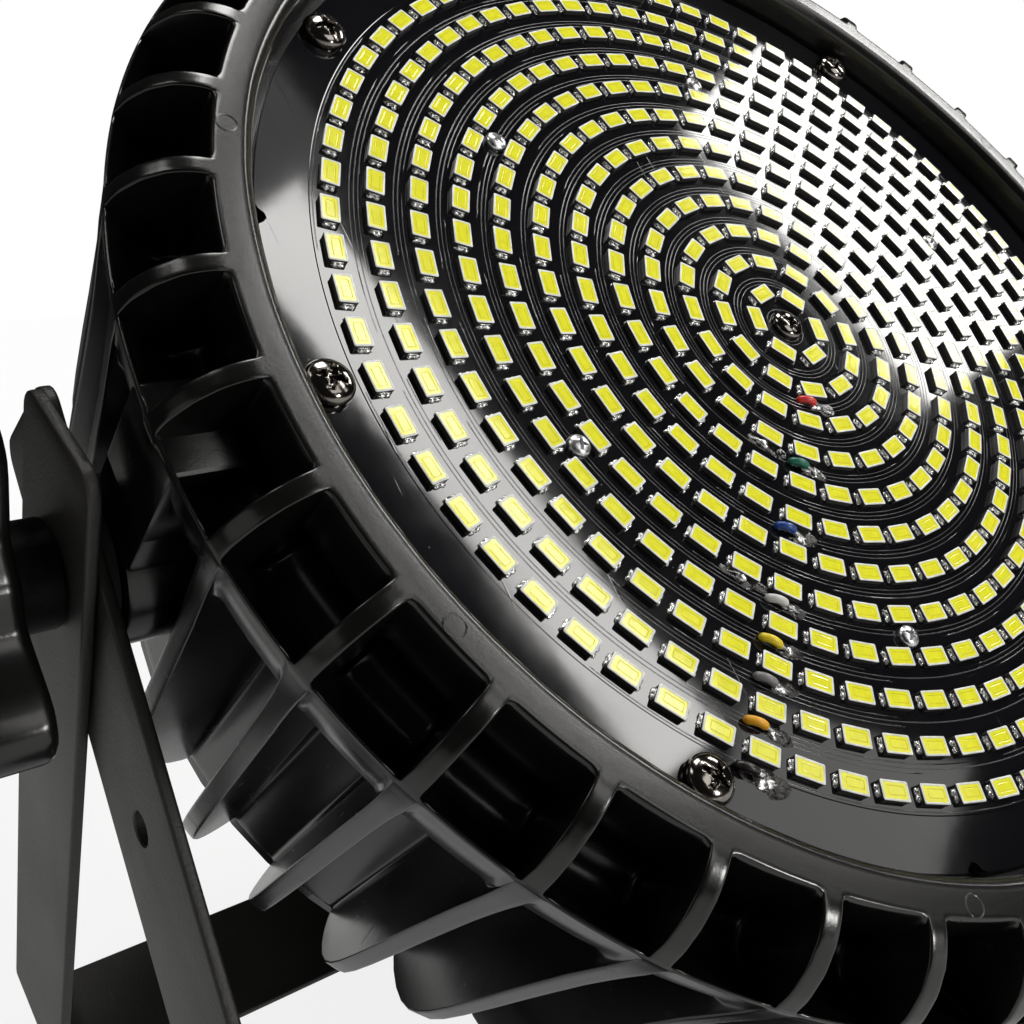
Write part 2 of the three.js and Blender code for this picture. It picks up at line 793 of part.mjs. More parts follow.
function latchPlaceY() {
  return dataFlangeY / 2 - latchEdgeInset - latchY / 2;
}

function dataLatch() {
  return centredBlock(
    latchX, latchY, dataOuter - latchProud,
    dataOuter + dataFlangeThickness - latchTravel - seatGap,
  )
    .translate([0, latchPlaceY(), 0]);
}

// Mains inlet: a well with three blades behind a flange, for a lead's loose connector
function mainsInlet() {
  const outer = coverFace - seatGap - inletFlangeThickness;
  const wellFloor = outer + inletWellDepth;
  const flange = centredBlock(inletFlangeX, inletFlangeY, outer, outer + inletFlangeThickness);
  const body = centredBlock(inletBodyX, inletBodyY, outer + bite, coverFace + inletBodyDepth);
  const well = centredBlock(inletWellX, inletWellY, outer - overrun, wellFloor);
  const blade = centredBlock(inletPinX, inletPinY, wellFloor - inletPinLength, wellFloor + bite);
  const blades = [-1, 0, 1].map((place) => blade.translate([
    place * inletPinSpread,
    place === 0 ? inletPinRise : -inletPinRise,
    0,
  ]));
  return joined([flange.add(body).subtract(well), ...blades]);
}

function fuseHolder() {
  const seat = coverFace - seatGap;
  const body = rod(fuseBodyRadius, seat - fuseFlangeThickness, coverInner + fuseBodyDepth);
  const flange = rod(fuseFlangeRadius, seat - fuseFlangeThickness, seat);
  const bore = rod(fuseStemRadius + fuseBoreGap, seat - fuseFlangeThickness - overrun,
    seat - fuseFlangeThickness + fuseCapDepth + fuseBoreGap);
  return body.add(flange).subtract(bore);
}

function fuseCap() {
  const rim = coverFace - seatGap - fuseFlangeThickness - seatGap;
  const knob = rod(fuseCapRadius, rim - fuseCapProud, rim);
  const stem = rod(fuseStemRadius, rim - bite, rim + fuseCapDepth);
  const slot = centredBlock(2 * fuseCapRadius + overrun, fuseSlotWidth, rim - fuseCapProud - overrun,
    rim - fuseCapProud + fuseSlotDepth);
  return knob.add(stem).subtract(slot);
}

function soundSensor() {
  const seat = coverFace - seatGap;
  const body = rod(micRadius, seat - bite, coverInner + micDepth, screwSides);
  return body.add(rod(micFlangeRadius, seat - micFlangeThickness, seat, screwSides));
}

// U-bent strap: its outline lies in x and in the reach below the tilt axis
function strap(armFace, reach, bendRadius) {
  const inside = armFace - strapThickness;
  const insideRadius = bendRadius - strapThickness;
  const bendX = armFace - bendRadius;
  const bendY = -reach + bendRadius;
  const arc = (radius, from, to) => {
    const points = [];
    for (let i = 0; i <= bendSteps; i += 1) {
      const turn = from + (to - from) * i / bendSteps;
      points.push([bendX + radius * Math.cos(turn), bendY + radius * Math.sin(turn)]);
    }
    return points;
  };
  const outside = [[armFace, strapTopReach], ...arc(bendRadius, 0, -Math.PI / 2)];
  const insideRun = [...arc(insideRadius, -Math.PI / 2, 0), [inside, strapTopReach]];
  const mirrored = (points) => points.map(([x, y]) => [-x, y]).reverse();
  const outline = [...outside, ...mirrored(outside), ...mirrored(insideRun), ...insideRun];
  const shape = new THREE.Shape(outline.map(([x, y]) => new THREE.Vector2(x, y)));
  const geometry = new THREE.ExtrudeGeometry(shape, { depth: strapWidth, bevelEnabled: false });
  geometry.translate(0, 0, -strapWidth / 2);
  return solidOf(geometry);
}

// Side view of an arm: its width with both upper corners cut
function armOutline(reach) {
  const half = strapWidth / 2;
  const shape = new THREE.Shape([
    new THREE.Vector2(-reach - overrun, -half),
    new THREE.Vector2(strapTopReach - strapCorner, -half),
    new THREE.Vector2(strapTopReach, -half + strapCorner),
    new THREE.Vector2(strapTopReach, half - strapCorner),
    new THREE.Vector2(strapTopReach - strapCorner, half),
    new THREE.Vector2(-reach - overrun, half),
  ]);
  const length = 2 * (outerArmFace + overrun);
  const geometry = new THREE.ExtrudeGeometry(shape, { depth: length, bevelEnabled: false });
  geometry.translate(0, 0, -length / 2);
  geometry.rotateY(Math.PI / 2);
  geometry.rotateX(Math.PI / 2);
  return solidOf(geometry);
}

function holeAcrossArms(radius) {
  return rodAlongX(radius, -outerArmFace - overrun, outerArmFace + overrun, screwSides);
}

function holeThroughCrossbar(radius, x, reach) {
  const geometry = new THREE.CylinderGeometry(
    radius, radius, 2 * strapThickness + 2 * overrun, screwSides,
  );
  geometry.translate(x, -reach, 0);
  return solidOf(geometry);
}

function bracket(armFace, reach, bendRadius) {
  let plate = strap(armFace, reach, bendRadius).intersect(armOutline(reach));
  plate = plate.subtract(holeAcrossArms(strapPivotHole));
  plate = plate.subtract(holeThroughCrossbar(crossbarHoleRadius, 0, reach));
  for (const side of [-1, 1]) {
    plate = plate.subtract(holeThroughCrossbar(
      crossbarSideHoleRadius, side * crossbarSideHolePlace, reach,
    ));
  }
  return plate;
}

// Both brackets stand on the lower edges of their crossbars, so the inner one's lean follows
const innerArmFace = outerArmFace - strapThickness - strapGap;
const innerReach = outerReach - strapThickness - strapGap;
const innerBendRadius = outerBendRadius - strapThickness - strapGap;
const standHeight = outerReach * Math.cos(outerLean) + strapWidth / 2 * Math.sin(outerLean);
const innerCorner = Math.hypot(innerReach, strapWidth / 2);
const innerLean = Math.atan2(strapWidth / 2, innerReach) + Math.acos(standHeight / innerCorner);

function placeBrackets() {
  const outer = bracket(outerArmFace, outerReach, outerBendRadius);
  const outerMesh = piece('outer_bracket', outer, bracketPaint, onTiltAxis);
  outerMesh.rotation.x = Math.PI / 2 + outerLean;
  const inner = bracket(innerArmFace, innerReach, innerBendRadius)
    .subtract(holeAcrossArms(armHoleRadius).translate([0, -armHoleDrop, 0]));
  const innerMesh = piece('inner_bracket', inner, bracketPaint, onTiltAxis);
  innerMesh.rotation.x = Math.PI / 2 - innerLean;
}

// Hand knob, along +x from the arm outwards
const knobSeat = outerArmFace + seatGap;
const wingBase = knobSeat + knobHubLength;

function knobWing() {
  const tipCentre = knobWingReach - knobWingHalf;
  const shape = new THREE.Shape();
  shape.moveTo(0, -knobWingHalf);
  shape.lineTo(tipCentre, -knobWingHalf);
  for (let i = 1; i < knobTipSteps; i += 1) {
    const turn = -Math.PI / 2 + Math.PI * i / knobTipSteps;
    shape.lineTo(tipCentre + knobWingHalf * Math.cos(turn), knobWingHalf * Math.sin(turn));
  }
  shape.lineTo(tipCentre, knobWingHalf);
  shape.lineTo(0, knobWingHalf);
  const geometry = new THREE.ExtrudeGeometry(shape, { depth: knobWingDepth, bevelEnabled: false });
  geometry.rotateX(Math.PI / 2);
  geometry.rotateZ(Math.PI / 2);
  geometry.translate(wingBase, 0, 0);
  return solidOf(geometry);
}

function handKnob() {
  const hub = rodAlongX(knobHubRadius, knobSeat, wingBase + bite);
  const core = rodAlongX(knobCoreRadius, wingBase, wingBase + knobWingDepth);
  const cap = rodAlongX(
    knobCapRadius, wingBase + knobWingDepth - bite, wingBase + knobWingDepth + knobCapDepth,
  );
  let knob = joined([hub, core, cap]);
  for (let i = 0; i < knobWings; i += 1) {
    knob = knob.add(knobWing().rotate([360 * i / knobWings, 0, 0]));
  }
  const socket = rodAlongX(
    studRadius + seatGap, knobSeat - overrun, wingBase + knobWingDepth / 2 + seatGap,
  );
  return knob.subtract(socket);
}

// What sits on the tilt axis at one side: nut, washer, stud and knob
function placeClamp(side, angle, knobTurn) {
  const onAxis = new THREE.Group();
  onAxis.rotation.z = angle;
  onAxis.position.z = pivotHeight;
  headPieces.add(onAxis);
  const studEnd = bossFace - nutLength - seatGap + studFloorGap;
  const nut = rodAlongX(nutRadius, bossFace - nutLength, bossFace, nutSides)
    .subtract(rodAlongX(
      studRadius + seatGap, bossFace - nutLength - overrun, bossFace + overrun, nutSides,
    ));
  piece(`${side}_pivot_nut`, nut, brass, onAxis);
  const washer = rodAlongX(washerOuterRadius, bossFace + seatGap, bossFace + seatGap + washerThickness)
    .subtract(rodAlongX(studRadius + slideGap, bossFace - overrun, outerArmFace, nutSides));
  piece(`${side}_friction_washer`, washer, rubber, onAxis);
  piece(`${side}_stud`, rodAlongX(
    studRadius, studEnd, wingBase + knobWingDepth / 2, nutSides,
  ), brightSteel, onAxis);
  const knob = piece(`${side}_knob`, handKnob(), blackPlastic, onAxis);
  knob.rotation.x = knobTurn;
}

// Assembly
piece('head_shell', headShell(), blackPlastic);
piece('lamp_board', lampBoard(), glossBoard);
placeScrews();
piece('heat_spreader', heatSpreader(), aluminium);
piece('driver_board', driverBoard(), greenBoard);
piece('rear_cover', rearCover(), blackPlastic);
piece('control_board', controlBoard(), greenBoard);
piece('power_supply', powerSupply(), caseSteel);

const displayLens = centredBlock(
  displayLength, displayWidth, coverFace, coverFace + displayThickness - seatGap,
);
piece('display_window', displayLens.translate([0, displayPlace, 0]), redLens);
buttonNames.forEach((name, i) => {
  piece(`${name}_button`, button().translate([buttonX(i), buttonPlace, 0]), keyGrey);
});
piece('data_in_socket', dataInSocket().translate([-dataPlaceX, dataPlaceY, 0]), blackPlastic);
piece('data_out_socket', dataOutSocket().translate([dataPlaceX, dataPlaceY, 0]), blackPlastic);
piece('data_out_latch', dataLatch().translate([dataPlaceX, dataPlaceY, 0]), brightSteel);
piece('mains_inlet', mainsInlet().translate([0, inletPlaceY, 0]), blackPlastic);
piece('fuse_holder', fuseHolder().translate([fusePlaceX, fusePlaceY, 0]), blackPlastic);
piece('fuse_cap', fuseCap().translate([fusePlaceX, fusePlaceY, 0]), blackPlastic);
piece('sound_sensor', soundSensor().translate([micPlaceX, micPlaceY, 0]), keyGrey);

const coverScrew = screw(
  -coverFace, coverScrewHead, coverScrewHeadHeight, edgeScrewShank, coverScrewLength,
)
  .rotate([180, 0, 0]);
for (let i = 0; i < coverScrewCount; i += 1) {
  const angle = coverScrewStart + i * FULL_TURN / coverScrewCount;
  piece(`cover_screw_${i + 1}`, placedOnCircle(coverScrew, coverScrewCircle, angle), brightSteel);
}

placeClamp('right', 0, Math.PI);
placeClamp('left', Math.PI, 0);
placeBrackets();

// Stand the light on the floor with the middle of its box over the origin
onTiltAxis.updateMatrixWorld(true);
const box = new THREE.Box3().setFromObject(onTiltAxis, true);
onTiltAxis.position.set(
  -(box.min.x + box.max.x) / 2,
  -(box.min.y + box.max.y) / 2,
  -box.min.z,
);

export default strobeLight;
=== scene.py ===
import json
import math
import random
from functools import partial

import bpy
from bpy.props import FloatProperty, FloatVectorProperty, IntProperty, PointerProperty
from mathutils import Matrix, Vector


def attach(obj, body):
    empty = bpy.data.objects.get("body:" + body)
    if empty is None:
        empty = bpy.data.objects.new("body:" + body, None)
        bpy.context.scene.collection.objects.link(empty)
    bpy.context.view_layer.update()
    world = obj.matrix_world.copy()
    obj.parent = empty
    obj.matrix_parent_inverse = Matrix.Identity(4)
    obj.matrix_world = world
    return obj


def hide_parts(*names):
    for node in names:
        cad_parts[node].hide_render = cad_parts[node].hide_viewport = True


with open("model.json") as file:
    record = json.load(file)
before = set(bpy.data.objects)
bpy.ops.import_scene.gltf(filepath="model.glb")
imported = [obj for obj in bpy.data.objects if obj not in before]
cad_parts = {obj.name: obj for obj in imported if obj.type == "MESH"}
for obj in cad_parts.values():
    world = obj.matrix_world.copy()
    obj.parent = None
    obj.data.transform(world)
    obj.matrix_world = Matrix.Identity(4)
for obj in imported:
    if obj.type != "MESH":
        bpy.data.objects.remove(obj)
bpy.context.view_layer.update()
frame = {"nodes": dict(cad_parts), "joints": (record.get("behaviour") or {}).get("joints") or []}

bl_info = {
    "name": "Strobe light",
    "version": (1, 0, 0),
    "blender": (4, 5, 0),
    "location": "View3D > Sidebar > Strobe light",
    "description": "Round strobe light with rings of small lamps, two nested brackets and hand knobs",
    "category": "Object",
}

MM = 0.001
SHARP = 35      # edges over this angle stay crisp, unless a piece says otherwise
TIP = 0.02      # radius in mm at which a turned profile is closed on its axis
TURN = 2 * math.pi
SEED = 37
HEAD_TILT = math.radians(37.6)
OUTER_LEAN = math.radians(28.8)
AXIS_BACK = 40.6    # from the lamps' front back to the tilt axis, in mm
PANEL = -106.25     # outer face of the rear cover, in mm from the lamps' front
PIVOT = Vector(next(j for j in frame["joints"] if j["name"] == "head_tilt")["pos_m"])
SPREAD = next(j for j in frame["joints"] if j["name"] == "bracket_spread")["range_deg"][1]
INNER_LEAN = math.radians(SPREAD) - OUTER_LEAN

HEAD_X = Vector((1, 0, 0))
HEAD_Y = Vector((0, math.sin(HEAD_TILT), math.cos(HEAD_TILT)))
HEAD_Z = Vector((0, -math.cos(HEAD_TILT), math.sin(HEAD_TILT)))


def axes_matrix(x, y, z, origin):
    """Matrix whose columns are three axes and a place."""
    m = Matrix((x, y, z)).transposed().to_4x4()
    m.translation = origin
    return m


HEAD = axes_matrix(HEAD_X, HEAD_Y, HEAD_Z, PIVOT + AXIS_BACK * MM * HEAD_Z)


# Settings that a user would change

class HeadSizes(bpy.types.PropertyGroup):
    """Sizes of the head, in metres."""
    board_radius: FloatProperty(
        name="Board radius", description="Radius of the lamp board", default=0.095, unit="LENGTH")
    lamp_pitch: FloatProperty(
        name="Lamp pitch", description="From one ring of lamps to the next", default=0.007, unit="LENGTH")
    lamp_rings: IntProperty(name="Lamp rings", description="Number of rings of lamps", default=12)
    lamp_length: FloatProperty(
        name="Lamp length", description="Length of a lamp's body along its ring", default=0.005,
        unit="LENGTH")
    lamp_width: FloatProperty(
        name="Lamp width", description="Width of a lamp's body", default=0.003, unit="LENGTH")
    rib_count: IntProperty(name="Ribs", description="Number of ribs and of fins", default=40)


class BracketSizes(bpy.types.PropertyGroup):
    """Sizes of the brackets, in metres."""
    strap_width: FloatProperty(
        name="Strap width", description="Width of a bracket's strap", default=0.025, unit="LENGTH")
    strap_thickness: FloatProperty(
        name="Strap thickness", description="Thickness of a strap", default=0.0019, unit="LENGTH")


class Colours(bpy.types.PropertyGroup):
    """Base colours of the finishes."""
    shell: FloatVectorProperty(
        name="Shell", description="Moulded shell", subtype="COLOR", size=3,
        default=(0.0036, 0.0035, 0.0033))
    board: FloatVectorProperty(
        name="Board", description="Solder mask of the lamp board", subtype="COLOR", size=3,
        default=(0.0040, 0.0041, 0.0052))
    lamp: FloatVectorProperty(
        name="Lamp", description="Phosphor in the lamps' windows", subtype="COLOR", size=3,
        default=(0.80, 0.78, 0.030))
    bracket: FloatVectorProperty(
        name="Bracket", description="Paint of the brackets", subtype="COLOR", size=3,
        default=(0.017, 0.0165, 0.015))


class StageSettings(bpy.types.PropertyGroup):
    """Camera, lights and background."""
    lens: FloatProperty(name="Lens", description="Focal length on a 36 mm sensor", default=41.44)
    ambient: FloatProperty(name="Ambient", description="Light from all around", default=0.02)
    strip: FloatProperty(
        name="Strip lights", description="Radiance that each strip light takes a share of", default=15.0)
    overhead: FloatProperty(name="Overhead light", description="Radiance of the box overhead", default=12.0)
    overhead_left: FloatProperty(
        name="Overhead left", description="Radiance of the box overhead at the left", default=4.0)
    key: FloatProperty(
        name="Key light", description="Radiance of the small light at the right", default=60.0)
    front: FloatProperty(name="Front light", description="Radiance of the box in front", default=2.4)
    side: FloatProperty(name="Side light", description="Radiance of the box at the left", default=0.5)
    floor: FloatVectorProperty(
        name="Floor", description="Pale floor", subtype="COLOR", size=3, default=(0.80, 0.80, 0.79))


# Meshes

def skin(name, verts, faces, indices=None, sharp=SHARP):
    """A smooth-shaded mesh object whose edges over the sharp angle stay crisp."""
    mesh = bpy.data.meshes.new(name)
    mesh.from_pydata([tuple(v) for v in verts], [], faces)
    mesh.polygons.foreach_set("use_smooth", [True] * len(mesh.polygons))
    mesh.set_sharp_from_angle(angle=math.radians(sharp))
    if indices:
        mesh.polygons.foreach_set("material_index", indices)
    mesh.update()
    obj = bpy.data.objects.new(name, mesh)
    bpy.context.scene.collection.objects.link(obj)
    return obj


def add_to(store, verts, faces):
    """Appends a closed shell to a pair of lists."""
    base = len(store[0])
    store[0].extend(verts)
    store[1].extend([tuple(base + i for i in f) for f in faces])


def loft(rows, close=False):
    """Closed skin through rows of equally many points; ends are capped unless it closes on itself."""
    n = len(rows[0])
    verts = [p for row in rows for p in row]
    faces = []
    count = len(rows) if close else len(rows) - 1
    for i in range(count):
        a, b = i * n, ((i + 1) % len(rows)) * n
        for j in range(n):
            k = (j + 1) % n
            faces.append((a + j, a + k, b + k, b + j))
    if not close:
        faces.append(tuple(reversed(range(n))))
        faces.append(tuple(range((len(rows) - 1) * n, len(rows) * n)))
    return verts, faces


def lathe(profile, sides, place=lambda r, h, a: (r * math.cos(a), r * math.sin(a), h), close=True):
    """Turns a profile of radius and height; a profile that starts and ends on the axis is not closed."""
    rows = [[place(r, h, TURN * j / sides) for j in range(sides)] for r, h in profile]
    return loft(rows, close)


def scaled(verts):
    """Points in mm as points in metres."""
    return [(x * MM, y * MM, z * MM) for x, y, z in verts]


def box_loft(x0, x1, y0, y1, z0, z1, edge, segments=2):
    """A box with all its edges rounded."""
    def ring(inset, z):
        r = max(edge - inset, 0.02 * edge)
        pts = []
        for cx, cy, start in ((x1, y1, 0), (x0, y1, 1), (x0, y0, 2), (x1, y0, 3)):
            sx = 1 if cx == x1 else -1
            sy = 1 if cy == y1 else -1
            ox, oy = cx - sx * (inset + r), cy - sy * (inset + r)
            for i in range(segments + 1):
                a = math.pi / 2 * (start + i / segments)
                pts.append((ox + r * math.cos(a), oy + r * math.sin(a), z))
        return pts
    rows = []
    for i in range(segments + 1):
        a = math.pi / 2 * i / segments
        rows.append(ring(edge * (1 - math.sin(a)), z0 + edge * (1 - math.cos(a))))
    for i in range(segments, -1, -1):
        a = math.pi / 2 * i / segments
        rows.append(ring(edge * (1 - math.sin(a)), z1 - edge * (1 - math.cos(a))))
    return loft(rows)


def tube(points, radii, sides):
    """A closed tube through points, with a radius at each."""
    rows = []
    pts = [Vector(p) for p in points]
    side = Vector((0, 0, 1))
    for i, p in enumerate(pts):
        t = (pts[min(i + 1, len(pts) - 1)] - pts[max(i - 1, 0)]).normalized()
        u = t.cross(side)
        u = u.normalized() if u.length > 1e-6 else Vector((1, 0, 0))
        v = u.cross(t).normalized()
        rows.append([
            tuple(p + radii[i] * (math.cos(TURN * j / sides) * u + math.sin(TURN * j / sides) * v))
            for j in range(sides)
        ])
    return loft(rows)


def curve_points(keys, steps):
    """Catmull-Rom points through keys of any dimension."""
    out = []
    ks = [keys[0]] + list(keys) + [keys[-1]]
    for i in range(1, len(ks) - 2):
        p0, p1, p2, p3 = (Vector(ks[i + k]) for k in (-1, 0, 1, 2))
        for s in range(steps):
            t = s / steps
            out.append(0.5 * (2 * p1 + (p2 - p0) * t + (2 * p0 - 5 * p1 + 4 * p2 - p3) * t * t
                              + (3 * p1 - p0 - 3 * p2 + p3) * t ** 3))
    out.append(Vector(keys[-1]))
    return out


def settle(obj, body, slot, look, *nodes, place=HEAD):
    """Places a piece's mesh, gives it its finish, ties it to its body and hides the CAD nodes that it
    stands for; the slot is not used.
    """
    obj.data.transform(place)
    obj.data.materials.append(look)
    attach(obj, body)
    if nodes:
        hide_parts(*nodes)


def piece(name, shape, body, slot, look, *nodes, sharp=SHARP):
    """A piece of the head or its clamps from points in mm and their faces."""
    settle(skin(name, scaled(shape[0]), shape[1], sharp=sharp), body, slot, look, *nodes)


def cut(obj, verts, faces):
    """Cuts closed shells out of a piece."""
    tool = skin("cutter", verts, faces)
    tool.matrix_world = obj.matrix_world
    mod = obj.modifiers.new("cut", "BOOLEAN")
    mod.operation = "DIFFERENCE"
    mod.solver = "EXACT"
    mod.object = tool
    bpy.context.view_layer.update()
    graph = bpy.context.evaluated_depsgraph_get()
    mesh = bpy.data.meshes.new_from_object(obj.evaluated_get(graph))
    obj.modifiers.clear()
    obj.data = mesh
    mesh.polygons.foreach_set("use_smooth", [True] * len(mesh.polygons))
    mesh.set_sharp_from_angle(angle=math.radians(SHARP))
    bpy.data.objects.remove(tool)


# Finishes

class Nodes:
    """Short hand for one material's node tree."""

    def __init__(self, name):
        self.material = bpy.data.materials.new(name)
        self.material.use_nodes = True
        self.tree = self.material.node_tree
        self.shader = self.tree.nodes["Principled BSDF"]
        self.coords = self.add("ShaderNodeTexCoord").outputs["Object"]

    def add(self, kind, **values):
        node = self.tree.nodes.new(kind)
        for key, value in values.items():
            if hasattr(node, key):
                setattr(node, key, value)
            else:
                node.inputs[key.replace("_", " ")].default_value = value
        return node

    def link(self, a, b):
        self.tree.links.new(a, b)

    def noise(self, scale, detail=3, rough=0.5, vector=None):
        node = self.add("ShaderNodeTexNoise", Scale=scale, Detail=detail, Roughness=rough)
        self.link(vector or self.coords, node.inputs["Vector"])
        return node.outputs["Fac"]

    def cells(self, scale):
        node = self.add("ShaderNodeTexVoronoi", Scale=scale)
        self.link(self.coords, node.inputs["Vector"])
        return node.outputs["Distance"]

    def stretch(self, scale, turn=(0, 0, 0)):
        node = self.add("ShaderNodeMapping")
        node.inputs["Scale"].default_value = scale
        node.inputs["Rotation"].default_value = turn
        self.link(self.coords, node.inputs["Vector"])
        return node.outputs["Vector"]

    def in_head(self):
        """Place in the head's frame, from the middle of the lamps' front, and distance from its axis."""
        node = self.add("ShaderNodeMapping", vector_type="TEXTURE")
        node.inputs["Location"].default_value = HEAD.translation
        node.inputs["Rotation"].default_value = HEAD.to_euler()
        self.link(self.coords, node.inputs["Vector"])
        split = self.add("ShaderNodeSeparateXYZ")
        self.link(node.outputs["Vector"], split.inputs["Vector"])
        x, y, z = (split.outputs[k] for k in "XYZ")
        return x, y, z, self.length(x, y)

    def length(self, a, b):
        """Square root of the sum of two squares."""
        squares = (self.math("MULTIPLY", v, v) for v in (a, b))
        return self.math("SQRT", self.math("ADD", *squares))

    def between(self, value, low, high, to_low=0.0, to_high=1.0):
        node = self.add("ShaderNodeMapRange", interpolation_type="SMOOTHSTEP")
        for key, v in (("From Min", low), ("From Max", high), ("To Min", to_low), ("To Max", to_high)):
            node.inputs[key].default_value = v
        self.link(value, node.inputs["Value"])
        return node.outputs["Result"]

    def math(self, operation, a, b=None):
        node = self.add("ShaderNodeMath", operation=operation)
        for socket, v in zip(node.inputs, (a,) if b is None else (a, b)):
            self.put(v, socket)
        return node.outputs["Value"]

    def put(self, v, socket):
        """Sets a socket to a value or a colour, or links it."""
        if isinstance(v, tuple):
            socket.default_value = (*v, 1.0)
        elif isinstance(v, (int, float)):
            socket.default_value = v
        else:
            self.link(v, socket)

    def mix(self, factor, a, b):
        node = self.add("ShaderNodeMix", data_type="RGBA")
        for key, v in (("Factor", factor), ("A", a), ("B", b)):
            self.put(v, next(s for s in node.inputs if s.name == key and s.enabled))
        return next(s for s in node.outputs if s.enabled)

    def cloudy(self, cloud, base, dark, light, high=0.7):
        """A base colour that drifts between a darker and a lighter one."""
        return self.mix(self.between(cloud, 0.3, high), lighter(base, dark), lighter(base, light))

    def bump(self, height, strength, distance, after=None):
        node = self.add("ShaderNodeBump")
        node.inputs["Strength"].default_value = strength
        node.inputs["Distance"].default_value = distance
        self.link(height, node.inputs["Height"])
        if after is not None:
            self.link(after, node.inputs["Normal"])
        return node.outputs["Normal"]

    def set(self, **values):
        for key, v in values.items():
            self.put(v, self.shader.inputs[key.replace("_", " ")])


FINISHES = {}


def finish(maker):
    """Keeps each finish so that it is made once."""
    def get(*args):
        key = (maker.__name__, args)
        if key not in FINISHES:
            FINISHES[key] = maker(*args)
        return FINISHES[key]
    return get


def colours():
    """The base colours that the user has set."""
    return bpy.context.scene.strobe_colours


def lighter(c, k):
    """A colour times a factor, up to white."""
    return tuple(min(1.0, v * k) for v in c)


# Ejector marks on the front ring, in metres
PIN_COUNT = 8
PIN_START = math.radians(157.0)
PIN_CIRCLE = 0.1006
PIN_RADIUS = 0.0015
PIN_LINE = 0.00014
RING_FACE = 0.0050    # what lies in front of this is the ring's flat face


def pin_marks(n):
    """Eight faint round ejector marks on the ring's front face, as a height."""
    x, y, z, radius = n.in_head()
    step = TURN / PIN_COUNT
    turn = n.math("SUBTRACT", n.math("ARCTAN2", y, x), PIN_START - step / 2)
    off = n.math("SUBTRACT", n.math("FLOORED_MODULO", turn, step), step / 2)
    away = n.length(n.math("MULTIPLY", off, radius), n.math("SUBTRACT", radius, PIN_CIRCLE))
    rim = n.math("ABSOLUTE", n.math("SUBTRACT", away, PIN_RADIUS))
    line = n.between(rim, 0.0, PIN_LINE, 1.0, 0.0)
    return n.math("MULTIPLY", line, n.math("GREATER_THAN", z, RING_FACE))


@finish
def moulded_black():
    n = Nodes("moulded_black_plastic")
    base = tuple(colours().shell)
    cloud = n.noise(28, 4)
    speck = n.between(n.cells(900), 0.0, 0.10, 1.0, 0.0)
    speck = n.math("MULTIPLY", speck, n.between(n.noise(45, 2), 0.5, 0.65))
    tone = n.cloudy(cloud, base, 0.8, 1.35, 0.75)
    grain = n.noise(2600, 4, 0.6)
    scuff = n.between(n.noise(160, 5, 0.65), 0.58, 0.76)
    rough = n.math("ADD", n.between(cloud, 0.2, 0.8, 0.20, 0.26), n.math("MULTIPLY", scuff, 0.10))
    normal = n.bump(n.noise(55, 3), 0.10, 0.0006)
    normal = n.bump(n.noise(420, 4, 0.6), 0.05, 0.0002, normal)
    normal = n.bump(pin_marks(n), 0.5, 0.00008, normal)
    n.set(Base_Color=n.mix(n.math("MULTIPLY", speck, 0.10), tone, (0.26, 0.25, 0.23)),
          Roughness=rough, Normal=n.bump(grain, 0.07, 0.00015, normal))
    return n.material


MASK_EDGE = 0.0869    # where the board's raised middle ends, in metres


@finish
def gloss_board():
    n = Nodes("gloss_solder_mask")
    base = tuple(colours().board)
    radius = n.in_head()[-1]
    pitch = bpy.context.scene.strobe_head.lamp_pitch
    part = n.math("FRACT", n.math("DIVIDE", radius, pitch))
    present = n.between(n.noise(38, 2), 0.44, 0.50)
    tracks = 0.0
    for middle, seen in ((0.345, present), (0.445, 1.0), (0.545, n.between(n.noise(30, 2), 0.40, 0.46))):
        off = n.math("ABSOLUTE", n.math("SUBTRACT", part, middle))
        line = n.math("MULTIPLY", n.between(off, 0.004, 0.014, 1.0, 0.0), seen)
        tracks = n.math("MAXIMUM", tracks, line)
    on_rings = n.between(radius, MASK_EDGE - 0.0001, MASK_EDGE + 0.0001, 1.0, 0.0)
    tracks = n.math("MULTIPLY", tracks, on_rings)
    dust = n.math("MULTIPLY", n.between(n.cells(420), 0.0, 0.045, 1.0, 0.0),
                  n.between(n.noise(90, 2), 0.48, 0.6))
    haze = n.between(n.noise(22, 5, 0.6), 0.45, 0.9)
    tone = n.mix(haze, base, lighter(base, 1.8))
    tone = n.mix(n.math("MULTIPLY", tracks, 0.5), tone, (0.12, 0.12, 0.12))
    tone = n.mix(n.math("MULTIPLY", dust, 0.7), tone, (0.5, 0.5, 0.48))
    fine = n.between(n.noise(55, 5, 0.6), 0.3, 0.8, 0.045, 0.095)
    rough = n.math("ADD", fine, n.math("MULTIPLY", dust, 0.4))
    scratch = n.noise(1.0, 2, 0.5, n.stretch((900, 30, 30), (0, 0, 0.6)))
    normal = n.bump(n.noise(14, 2), 0.30, 0.0005)
    normal = n.bump(n.noise(75, 3), 0.06, 0.0002, normal)
    normal = n.bump(n.between(scratch, 0.70, 0.74), 0.08, 0.00003, normal)
    normal = n.bump(on_rings, 0.6, 0.00006, normal)
    normal = n.bump(tracks, 0.7, 0.00005, normal)
    n.set(Base_Color=tone, Roughness=rough, Normal=normal, IOR=1.5)
    return n.material


@finish
def lamp_frame():
    n = Nodes("lamp_white_frame")
    cloud = n.noise(600, 3)
    tone = n.mix(n.between(cloud, 0.3, 0.7), (0.62, 0.64, 0.58), (0.80, 0.81, 0.77))
    stain = n.between(n.noise(120, 4), 0.58, 0.72)
    n.set(Base_Color=n.mix(n.math("MULTIPLY", stain, 0.35), tone, (0.42, 0.46, 0.34)),
          Roughness=n.between(cloud, 0.2, 0.8, 0.28, 0.42),
          Normal=n.bump(n.noise(2500, 2), 0.12, 0.0001))
    return n.material


